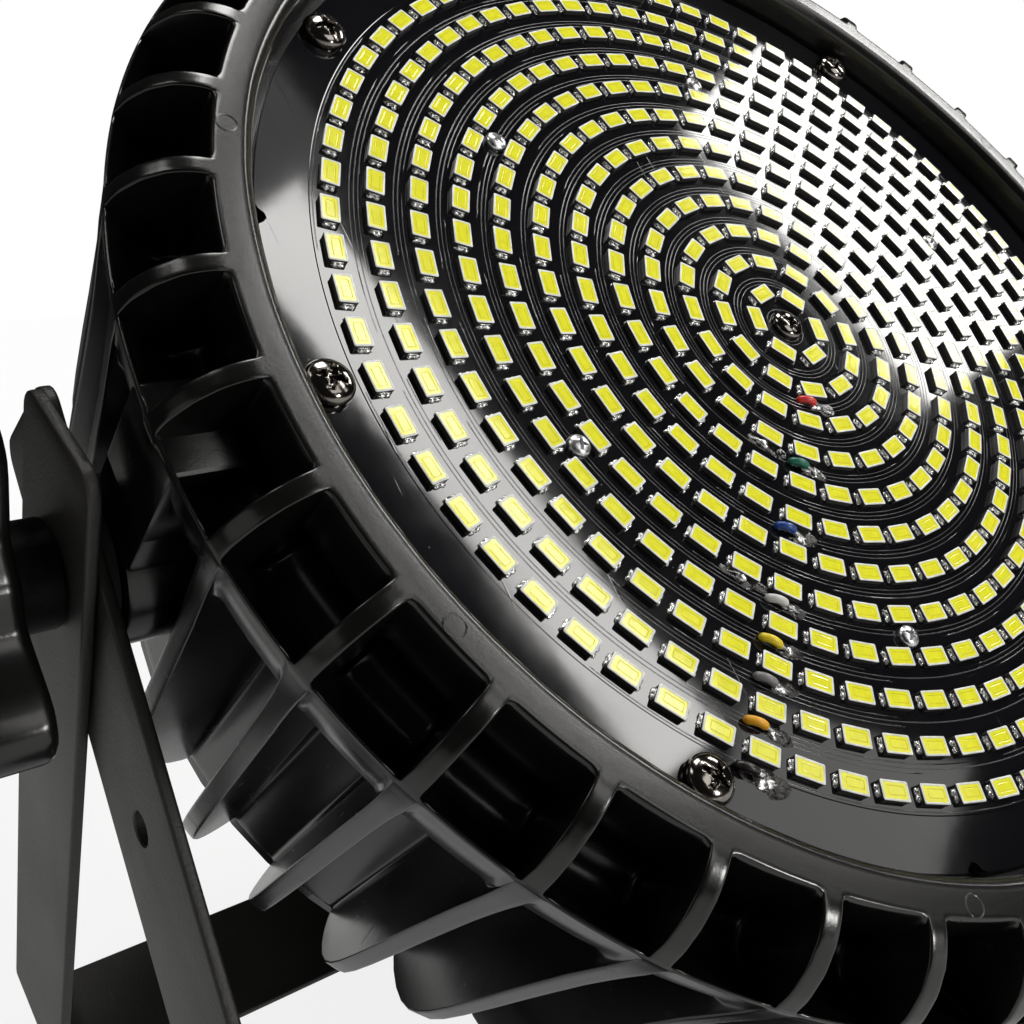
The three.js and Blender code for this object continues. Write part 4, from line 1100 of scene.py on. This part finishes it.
class MakeWireEnds(bpy.types.Operator):
    """Ends of eight wires and two bare joints, soldered between the rings of lamps."""
    bl_idname = "strobe.wires"
    bl_label = "Wire ends"

    def execute(self, context):
        rng = random.Random(SEED + 2)
        beads, burns = ([], []), ([], [])

        def add(store, shape):
            add_to(store, placed(shape[0], *spot), shape[1])

        for colour, x, y in WIRE_ENDS:
            spot = on_board(x, y)
            black = colour == "black"
            big = BLACK_JOINT if black else 1.0
            pts = curve_points(WIRE_COURSE, 4)
            shares = [i / (len(pts) - 1) for i in range(len(pts))]
            radii = [WIRE_RADIUS * min(1.0, 0.45 + 3.2 * s) * min(1.0, 0.55 + 2.4 * (1 - s))
                     for s in shares]
            v, f = tube(pts, radii, 14)
            obj = skin("wire_" + colour, placed(v, *spot, rng.uniform(-0.1, 0.1)), f, sharp=60)
            settle(obj, "head", "rubber" if black else "wire_" + colour, insulation(colour))
            pts = curve_points(SOLDER_COURSE, 3)
            shares = [i / (len(pts) - 1) for i in range(len(pts))]
            radii = [max(0.06, SOLDER_RADIUS * big * (1 - s ** 1.4)) * rng.uniform(0.8, 1.15)
                     for s in shares]
            add(beads, tube(pts, radii, 9))
            for _ in range(5 if black else 3):
                place = (rng.uniform(-0.5, 0.5) * big, rng.uniform(1.7, 3.6) * (0.9 + 0.1 * big),
                         BOARD_FRONT)
                sizes = (rng.uniform(0.4, 0.8) * big, rng.uniform(0.5, 1.0) * big, rng.uniform(0.25, 0.5))
                add(beads, lump(rng, *sizes, place, 13, 5, 0.3))
            for _ in range(2):
                sizes = (rng.uniform(0.9, 1.4) * big, rng.uniform(1.4, 2.2) * big, 0.06)
                place = (rng.uniform(-0.6, 0.3), rng.uniform(3.0, 4.6), BOARD_FRONT)
                add(burns, lump(rng, *sizes, place, 17, 3, 0.3))
        for x, y in BARE_JOINTS:
            spot = on_board(x, y)
            for _ in range(3):
                start = rng.uniform(-0.6, 0.6)
                course = ((start, -2.4, -0.95), (start * 0.6, -1.4, -0.6), (0, -0.4, -0.45),
                          (0.1, 0.6, -0.55))
                pts = curve_points(course, 3)
                add(beads, tube(pts, [0.14] * len(pts), 7))
            add(beads, lump(rng, 0.75, 1.3, 0.75, (0, 0, BOARD_FRONT), 17, 6, 0.2))
            for place, *sizes in BARE_BURNS:
                add(burns, lump(rng, *sizes, place, 19, 4, 0.3))
        settle(skin("wire_solder_beads", *beads, sharp=70), "head", "solder", solder())
        settle(skin("burnt_flux_spots", *burns, sharp=70), "head", "board_gloss", flux())
        return {"FINISHED"}


# Brackets and clamps

STRAP_TOP = 24.0       # end of an arm, above the tilt axis
STRAP_CORNER = 4.0
# Rows down from the end of an arm, and how much each is pinched in
STRAP_END = ((0.0, 0.55), (0.15, 0.25), *((s, 0.0) for s in (0.5, 1.2, 2.2, 3.2, 4.0, 6.0)))
PINCHED_HALF = 0.6    # share of the pinch that each half of the width loses
PINCHED_FACE = 0.45   # share of the pinch that each face loses
STRAP_EDGE = 0.5      # radius of the long edges, but no more than the share below of the thickness
STRAP_EDGE_SHARE = 0.3
BEND_STEPS = 14
ABOVE_BEND = 25       # where an arm has its last row above the bend
CROSSBAR_HALF = 20.0   # half of the crossbar's straight middle that has no rows
# Cutters of the holes: how far they reach past the strap's middle, the chamfer and the half strap
DRILL_HALF = 3.0
DRILL_CHAMFER = 0.25
DRILL_FACE = 0.95


def strap_rows(arm_face, reach, bend, width, thick):
    """Rounded cross-sections along the U, in the bracket's plane: x across, y up, z along the width."""
    stations = []
    top, corner = STRAP_TOP, STRAP_CORNER
    inner = arm_face - thick / 2
    radius = bend - thick / 2
    low = -(reach - thick / 2)
    for s, pinch in STRAP_END:
        half = width / 2 - corner + math.sqrt(max(0.0, corner ** 2 - (corner - min(s, corner)) ** 2))
        stations.append(((-inner, top - s), (-1, 0), half - pinch * PINCHED_HALF,
                         thick - pinch * 2 * PINCHED_FACE))
    for y in (0.0, low + radius + ABOVE_BEND):
        stations.append(((-inner, y), (-1, 0), width / 2, thick))
    for i in range(BEND_STEPS + 1):
        a = math.pi + math.pi / 2 * i / BEND_STEPS
        c = (-inner + radius, low + radius)
        stations.append(((c[0] + radius * math.cos(a), c[1] + radius * math.sin(a)),
                         (math.cos(a), math.sin(a)), width / 2, thick))
    stations.append(((-CROSSBAR_HALF, low), (0, -1), width / 2, thick))
    mirrored = [((-p[0], p[1]), (-n[0], n[1]), h, t) for p, n, h, t in reversed(stations)]
    rows = []
    for (x, y), (nx, ny), half, t in stations + mirrored:
        edge = min(STRAP_EDGE, t * STRAP_EDGE_SHARE)
        row = []
        for cx, cz, start in ((1, 1, 0), (-1, 1, 1), (-1, -1, 2), (1, -1, 3)):
            for k in range(4):
                a = math.pi / 2 * (start + k / 3)
                u = cx * (t / 2 - edge) + edge * math.cos(a)
                z = cz * (half - edge) + edge * math.sin(a)
                row.append((x + nx * u, y + ny * u, z))
        rows.append(row)
    return rows


def drill(radius, axis, place):
    """A closed cutter for a hole through a strap, a little wider at both faces."""
    half, chamfer, face = DRILL_HALF, DRILL_CHAMFER, DRILL_FACE
    wide = radius + chamfer
    profile = [(TIP, -half), (wide + half - face, -half), (wide, -face), (radius, -face + chamfer),
               (radius, face - chamfer), (wide, face), (wide + half - face, half), (TIP, half)]

    def spot(r, h, a):
        u, v = r * math.cos(a), r * math.sin(a)
        x, y, z = (h, u, v) if axis == "x" else (u, h, v)
        return (x + place[0], y + place[1], z + place[2])
    return lathe(profile, 40, spot, close=False)


# Outer bracket in mm: outer faces of the arms and the crossbar, and the bends' outer radius
ARM_FACE = 120.6
REACH = 124.51
BEND = 11.0
NESTED_GAP = 0.3    # between the outer and the inner bracket
# Radii of the holes, and the places of those off the middle
STUD_HOLE = 4.6
HANG_HOLE = 5.25
SIDE_HOLE = 3.25
SIDE_HOLE_PLACE = 38
ARM_HOLE = 2.5
ARM_HOLE_DOWN = 37.7


class MakeBrackets(bpy.types.Operator):
    """The two nested brackets, with rounded edges and drilled holes."""
    bl_idname = "strobe.brackets"
    bl_label = "Brackets"

    def execute(self, context):
        sizes = context.scene.strobe_brackets
        width, thick = sizes.strap_width / MM, sizes.strap_thickness / MM
        for node, inside, lean in (
            ("outer_bracket", 0.0, OUTER_LEAN), ("inner_bracket", thick + NESTED_GAP, -INNER_LEAN),
        ):
            face, reach = ARM_FACE - inside, REACH - inside
            verts, faces = loft(strap_rows(face, reach, BEND - inside, width, thick))
            obj = skin(node + "_strap", scaled(verts), faces)
            store = ([], [])
            middle, low = face - thick / 2, -reach + thick / 2
            holes = [(STUD_HOLE, "x", (s * middle, 0, 0)) for s in (-1, 1)]
            holes += [(HANG_HOLE, "y", (0, low, 0))]
            holes += [(SIDE_HOLE, "y", (s * SIDE_HOLE_PLACE, low, 0)) for s in (-1, 1)]
            if inside:
                holes += [(ARM_HOLE, "x", (s * middle, -ARM_HOLE_DOWN, 0)) for s in (-1, 1)]
            for radius, axis, place in holes:
                v, f = drill(radius, axis, place)
                add_to(store, scaled(v), f)
            cut(obj, *store)
            up = Vector((0, -math.sin(lean), math.cos(lean)))
            place = axes_matrix(HEAD_X, up, HEAD_X.cross(up), PIVOT)
            settle(obj, node, "bracket_paint", bracket_paint(), node, place=place)
        return {"FINISHED"}


# Hand knob in mm: its reach, half a wing's width, where the wing's round end has its middle, the core's
# radius and how softly the wings grow out of it
KNOB_REACH = 26.5
WING_HALF = 5.2
WING_END = 21.3
KNOB_CORE = 11.0
KNOB_SOFT = 1.6
KNOB_COLUMNS = 180
# Rows of the knob: level on the tilt axis, then a radius, or None and how far inside the outline it runs
KNOB_ROWS = (
    (133.3, TIP), (133.3, 4.15), (121.1, 4.15), (120.85, 4.5), (120.85, 7.5), (121.0, 7.85), (121.4, 8.0),
    (126.3, 8.0), (126.8, 8.25), (127.05, 8.9), (127.05, None, 2.0), (127.2, None, 1.2),
    (127.7, None, 0.5), (128.5, None, 0.1), (129.3, None, 0.0), (136.9, None, 0.0), (137.7, None, 0.15),
    (138.4, None, 0.6), (138.9, None, 1.3), (139.05, None, 2.1), (139.05, 9.3), (139.2, 8.85), (139.6, 8.6),
    (140.2, 8.45), (140.52, 8.1), (140.65, 7.5), (140.6, 5.5), (140.45, 5.0), (140.4, TIP),
)
# Profiles about the tilt axis: place along x and radius
STUD_TIP = ((102.15, TIP), (102.15, 3.2), (102.8, 3.85))
STUD_END = ((133.0, 3.3), (133.0, TIP))
THREAD_FROM = 102.8
THREAD_TO = 131.8
THREAD_PITCH = 1.25
THREAD_TURN = ((0.3, 3.88), (0.62, 3.3), (0.95, 3.88))
WASHER = ((114.55, 4.4), (114.55, 10.7), (114.7, 10.95), (116.1, 10.95), (116.25, 10.7), (116.25, 4.4))
NUT_START = ((101.35, 4.3), (101.35, 5.7), (101.6, 5.95))
NUT_END = ((114.0, 5.95), (114.28, 5.7), (114.28, 4.3))
NUT_GROOVE = ((102.0, 5.95), (102.3, 5.72))
NUT_GROOVES = 18
NUT_PITCH = 0.66


def knob_outline():
    """Radius at each angle of the three-winged knob, in mm."""
    out = []
    for j in range(KNOB_COLUMNS):
        a = TURN * j / KNOB_COLUMNS
        off = abs((a + math.pi / 3) % (TURN / 3) - math.pi / 3)
        wing = 0.0
        if off < math.pi / 3:
            wing = WING_HALF / max(math.sin(off), 1e-3)
            if wing * math.cos(off) > WING_END:
                rest = WING_HALF ** 2 - (WING_END * math.sin(off)) ** 2
                wing = WING_END * math.cos(off) + math.sqrt(max(0.0, rest))
        if wing < 40:
            wing = KNOB_SOFT * math.log(math.exp(wing / KNOB_SOFT) + math.exp(KNOB_CORE / KNOB_SOFT))
        out.append(min(wing, KNOB_REACH))
    return out


class MakeClamps(bpy.types.Operator):
    """Hand knobs, studs, washers and pivot nuts on both ends of the tilt axis."""
    bl_idname = "strobe.clamps"
    bl_label = "Clamps"

    def execute(self, context):
        outlines = knob_outline()
        rows = []
        for level, radius, *inset in KNOB_ROWS:
            row = []
            for j, outline in enumerate(outlines):
                a = TURN * j / KNOB_COLUMNS
                r = outline - inset[0] if radius is None else radius
                row.append((level, -r * math.cos(a), r * math.sin(a)))
            rows.append(row)
        knob_v, knob_f = loft(rows)
        stud = list(STUD_TIP)
        x = THREAD_FROM
        while x < THREAD_TO:
            stud += [(x + along, radius) for along, radius in THREAD_TURN]
            x += THREAD_PITCH
        stud += STUD_END
        nut = list(NUT_START)
        for i in range(NUT_GROOVES):
            nut += [(x + i * NUT_PITCH, radius) for x, radius in NUT_GROOVE]
        nut += NUT_END
        for side, sign in (("right", 1), ("left", -1)):
            verts = [(sign * px, py, pz - AXIS_BACK) for px, py, pz in knob_v]
            faces = knob_f if sign > 0 else [tuple(reversed(f)) for f in knob_f]
            knob, rod = side + "_knob", side + "_stud"
            star = (verts, faces)
            piece(side + "_hand_knob", star, knob, "black_plastic", moulded_black(), knob, sharp=42)
            thread = on_axis(stud, 40, sign)
            piece(side + "_threaded_stud", thread, rod, "bright_steel", bright_steel(), rod)
            washer, insert = on_axis(WASHER, 64, sign, True), on_axis(nut, 48, sign, True)
            piece(side + "_washer_ring", washer, "head", "rubber", soft_rubber(), side + "_friction_washer")
            piece(side + "_knurled_nut", insert, "head", "brass", turned_brass(), side + "_pivot_nut")
        return {"FINISHED"}


# Back and inside: CAD solids that keep their shape get rounded edges and a real finish

WELD = 0.00002
ROUNDED_OVER = 40
# Finish, and width of the rounded edges in metres
DRESSED = {
    "heat_spreader": (rolled_aluminium, 0.0004), "driver_board": (green_board, 0.0001),
    "control_board": (green_board, 0.0001), "power_supply": (case_steel, 0.0006),
    "rear_cover": (moulded_black, 0.0005), "display_window": (red_lens, 0.0003),
    "data_in_socket": (moulded_black, 0.0003), "data_out_socket": (moulded_black, 0.0003),
    "data_out_latch": (bright_steel, 0.0003), "mains_inlet": (moulded_black, 0.0003),
    "fuse_holder": (moulded_black, 0.0003),
}


class DressBack(bpy.types.Operator):
    """Rounded edges and finishes for the solids of the back and the inside."""
    bl_idname = "strobe.back"
    bl_label = "Back and inside"

    def execute(self, context):
        for node, (look, edge) in DRESSED.items():
            obj = frame["nodes"][node]
            obj.data.materials.clear()
            obj.data.materials.append(look())
            weld = obj.modifiers.new("weld", "WELD")
            weld.merge_threshold = WELD
            bevel = obj.modifiers.new("round", "BEVEL")
            bevel.width = edge
            bevel.segments = 2
            bevel.limit_method = "ANGLE"
            bevel.angle_limit = math.radians(ROUNDED_OVER)
            bevel.harden_normals = True
        return {"FINISHED"}


# Back panel, in mm: places are across and up in the head's frame, heights are counted outwards from the
# cover's face

FLANGE = -108.5     # outer face of the sockets' flanges
KEYS = (("menu", -21), ("down", -7), ("up", 7), ("enter", 21))
KEY_ROW = 25
DATA_PLACE = (30, -20)
INLET_ROW = -52
FUSE_PLACE = (-34, -54)
SENSOR_PLACE = (34, -54)
DISPLAY_ROW = 44
LETTER_HEIGHT = 2.9
# Words and their places
WORDS = [(word.upper(), x, 18.6) for word, x in KEYS] + [
    ("DATA IN", -30, -2.6), ("DATA OUT", 30, -2.6), ("AC IN", 0, -67.4), ("FUSE", -34, -65.6),
    ("SOUND", 34, -62.2),
]
# Both ends of each bar of a digit, in halves of its width and height
DIGIT_BARS = (
    ((-1, 1), (1, 1)), ((-1, 0), (1, 0)), ((-1, -1), (1, -1)), ((-1, 0), (-1, 1)), ((1, 0), (1, 1)),
    ((-1, -1), (-1, 0)), ((1, -1), (1, 0)),
)
DIGITS = 4
DIGIT_PITCH = 9.2
DIGIT_HALF_WIDTH = 2.3
DIGIT_HALF_HEIGHT = 4.3
DIGIT_LEAN = 0.12
BAR_HALF = 0.42
# Profiles that stand on the panel: radius and height
KEY = (
    (TIP, -4.3), (4.4, -4.3), (4.6, -4.1), (4.6, -3.5), (4.4, -3.3), (3.55, -3.3), (3.55, 1.2), (3.46, 1.5),
    (3.2, 1.72), (2.8, 1.8), (2.2, 1.74), (1.2, 1.62), (TIP, 1.6),
)
FUSE_CAP = (
    (TIP, -3.3), (3.9, -3.3), (4.1, -3.1), (4.1, 2.7), (5.3, 2.7), (5.6, 3.0), (5.6, 9.0), (5.4, 9.45),
    (4.9, 9.7), (TIP, 9.7),
)
FUSE_FLUTES = 24
FLUTE_SHARE = 0.05    # depth of a flute, as a share of the radius
FUSE_SLOT = (7, 0.8)  # half its cutter's length and width
SLOT_FLOOR = 8.3
BEZEL = (
    (TIP, -9), (2.9, -9), (2.9, 0.25), (4.45, 0.25), (4.6, 0.4), (4.6, 1.0), (4.4, 1.25), (3.2, 1.25),
    (3.05, 1.1), (2.98, 0.5), (TIP, 0.5),
)
FELT = ((TIP, 0.4), (2.96, 0.4), (2.9, 0.62), (2.2, 0.78), (1.0, 0.86), (TIP, 0.88))
PIN = ((TIP, -10.7), (1.13, -10.7), (1.13, -2.4), (0.95, -1.95), (0.6, -1.7), (TIP, -1.62))
CONTACT_RIM = ((TIP, 0.3), (1.3, 0.3), (1.38, 0.82), (1.62, 0.82), (1.7, 0.76), (1.7, 0.0), (TIP, 0.0))
COVER_LIP = ((86.5, -0.3), (86.5, 0.3), (86.7, 0.48), (87.9, 0.48), (88.1, 0.3), (88.1, -0.3))
CONTACT_CIRCLE = 5.2
BLADES = ((-7, -2.2), (0, 2.2), (7, -2.2))
BLADE_HALF = (1.03, 2.03)
BLADE_ENDS = (-103.6, -94.6)    # from the lamps' front
# Flange screws: radius and height of the head, their places beside the inlet and the data sockets
FLANGE_SCREW = (1.8, 0.9)
INLET_SCREW = 18
DATA_SCREWS = ((-9.5, 12), (9.5, -12))


def outwards(profile, x, y, sides=48, waves=0, wave=0.0):
    """Lathe that stands on the back panel: profile of radius and height."""
    def place(r, h, a):
        r *= 1 - wave * (0.5 + 0.5 * math.cos(waves * a))
        return (x + r * math.cos(a), y + r * math.sin(a), PANEL - h)
    verts, faces = lathe(profile, sides, place, close=False)
    return verts, [tuple(reversed(f)) for f in faces]


def digit_bar(p, q, half):
    """A flat six-sided bar between two points of the display."""
    p, q = Vector(p), Vector(q)
    along = (q - p).normalized()
    across = Vector((-along.y, along.x)) * half
    near, far = p + along * half * 1.2, q - along * half * 1.2
    outline = [p + along * 0.15, near + across, far + across, q - along * 0.15, far - across, near - across]
    return loft([[(v.x, v.y, level) for v in outline] for level in (PANEL + 0.1, PANEL - 0.02)])


class MakeKeys(bpy.types.Operator):
    """Four round keys with hollowed tops, the fuse cap and the sound sensor."""
    bl_idname = "strobe.keys"
    bl_label = "Keys and caps"

    def execute(self, context):
        for word, x in KEYS:
            button = word + "_button"
            piece(word + "_key", outwards(KEY, x, KEY_ROW), button, "key_grey", grey_key(), button)

        x, y = FUSE_PLACE
        v, f = outwards(FUSE_CAP, x, y, 144, FUSE_FLUTES, FLUTE_SHARE)
        obj = skin("fuse_screw_cap", scaled(v), f)
        reach, half = FUSE_SLOT
        v, f = box_loft(x - reach, x + reach, y - half, y + half, PANEL - 12, PANEL - SLOT_FLOOR, 0.12)
        cut(obj, scaled(v), f)
        settle(obj, "fuse_cap", "black_plastic", moulded_black(), "fuse_cap")

        bezel, felt = outwards(BEZEL, *SENSOR_PLACE), outwards(FELT, *SENSOR_PLACE)
        piece("sensor_bezel", bezel, "head", "key_grey", grey_key(), "sound_sensor")
        piece("sensor_felt", felt, "head", "rubber", soft_rubber())
        return {"FINISHED"}


class MakeContacts(bpy.types.Operator):
    """Contacts and flange screws of the sockets and the inlet, and the lip round the cover."""
    bl_idname = "strobe.contacts"
    bl_label = "Contacts and lip"

    def execute(self, context):
        pins, rims, blades, screws = ([], []), ([], []), ([], []), ([], [])
        far, row = DATA_PLACE
        wide, high = BLADE_HALF
        for i in range(3):
            a = math.pi / 2 + TURN * i / 3
            x, y = CONTACT_CIRCLE * math.cos(a), CONTACT_CIRCLE * math.sin(a)
            add_to(pins, *outwards(PIN, x - far, y + row, 32))
            add_to(rims, *outwards(CONTACT_RIM, x + far, y + row, 32))
        for x, y in BLADES:
            y += INLET_ROW
            add_to(blades, *box_loft(x - wide, x + wide, y - high, y + high, *BLADE_ENDS, 0.35))
        verts, faces = cross_head(*FLANGE_SCREW, 56, 18)
        spots = [(side * INLET_SCREW, INLET_ROW) for side in (-1, 1)]
        spots += [(side * far + x, row + y) for side in (-1, 1) for x, y in DATA_SCREWS]
        for i, (x, y) in enumerate(spots):
            m = Matrix.Translation((x, y, FLANGE)) @ Matrix.Rotation(math.pi, 4, "X")
            m = m @ Matrix.Rotation(i * 0.7, 4, "Z")
            add_to(screws, [tuple(m @ Vector(p)) for p in verts], faces)
        lip = lathe(COVER_LIP, 240, lambda r, h, a: (r * math.cos(a), r * math.sin(a), PANEL - h))
        for name, parts, slot, look in (
            ("data_pins", pins, "brass", turned_brass),
            ("data_contact_rims", rims, "brass", turned_brass),
            ("inlet_blades", blades, "bright_steel", bright_steel),
            ("flange_screws", screws, "bright_steel", bright_steel),
            ("cover_lip", lip, "black_plastic", moulded_black),
        ):
            piece(name, parts, "head", slot, look(), sharp=45)
        return {"FINISHED"}


class MakePrint(bpy.types.Operator):
    """Printed words of the back panel and the display's digits."""
    bl_idname = "strobe.print"
    bl_label = "Print and digits"

    def execute(self, context):
        words = ([], [])
        for word, x, y in WORDS:
            text = bpy.data.curves.new("word", "FONT")
            text.body = word
            text.size = LETTER_HEIGHT
            text.align_x = "CENTER"
            text.align_y = "CENTER"
            text.extrude = 0.015
            text.resolution_u = 3
            letters = bpy.data.objects.new("word", text)
            context.scene.collection.objects.link(letters)
            context.view_layer.update()
            mesh = bpy.data.meshes.new_from_object(letters.evaluated_get(context.evaluated_depsgraph_get()))
            add_to(words, [(x - v.co.x, y + v.co.y, PANEL - 0.01 - v.co.z) for v in mesh.vertices],
                   [tuple(p.vertices) for p in mesh.polygons])
            bpy.data.objects.remove(letters)
            bpy.data.meshes.remove(mesh)
        piece("panel_words", words, "head", "key_grey", panel_print(), sharp=20)

        bars = ([], [])
        for i in range(DIGITS):
            middle = (i - (DIGITS - 1) / 2) * DIGIT_PITCH
            for ends in DIGIT_BARS:
                p, q = ((middle + DIGIT_HALF_WIDTH * x + DIGIT_LEAN * -DIGIT_HALF_HEIGHT * y,
                         DISPLAY_ROW + DIGIT_HALF_HEIGHT * y) for x, y in ends)
                add_to(bars, *digit_bar(p, q, BAR_HALF))
        piece("display_digits", bars, "head", "display_lens", dim_segments(), sharp=20)
        return {"FINISHED"}


# Panel, registration and the run

MAKERS = (
    MakeStage, MakeCan, MakeLampBoard, MakeLamps, MakeBoardScrews, MakeWireEnds, MakeBrackets, MakeClamps,
    DressBack, MakeKeys, MakeContacts, MakePrint,
)


class StrobePanel(bpy.types.Panel):
    """Lists the makers of the strobe light."""
    bl_idname = "VIEW3D_PT_strobe_light"
    bl_label = "Strobe light"
    bl_space_type = "VIEW_3D"
    bl_region_type = "UI"
    bl_category = "Strobe light"

    def draw(self, context):
        for group in ("strobe_head", "strobe_brackets", "strobe_colours", "strobe_stage"):
            settings = getattr(context.scene, group)
            for key in settings.__annotations__:
                self.layout.prop(settings, key)
        for maker in MAKERS:
            self.layout.operator(maker.bl_idname)


SETTINGS = {
    "strobe_head": HeadSizes, "strobe_brackets": BracketSizes, "strobe_colours": Colours,
    "strobe_stage": StageSettings,
}


def register():
    for cls in (*SETTINGS.values(), *MAKERS, StrobePanel):
        bpy.utils.register_class(cls)
    for name, cls in SETTINGS.items():
        setattr(bpy.types.Scene, name, PointerProperty(type=cls))


def unregister():
    for name in SETTINGS:
        delattr(bpy.types.Scene, name)
    for cls in reversed((*SETTINGS.values(), *MAKERS, StrobePanel)):
        bpy.utils.unregister_class(cls)


def main():
    register()
    for maker in MAKERS:
        group, name = maker.bl_idname.split(".")
        getattr(getattr(bpy.ops, group), name)()


if __name__ == "__main__":
    main()
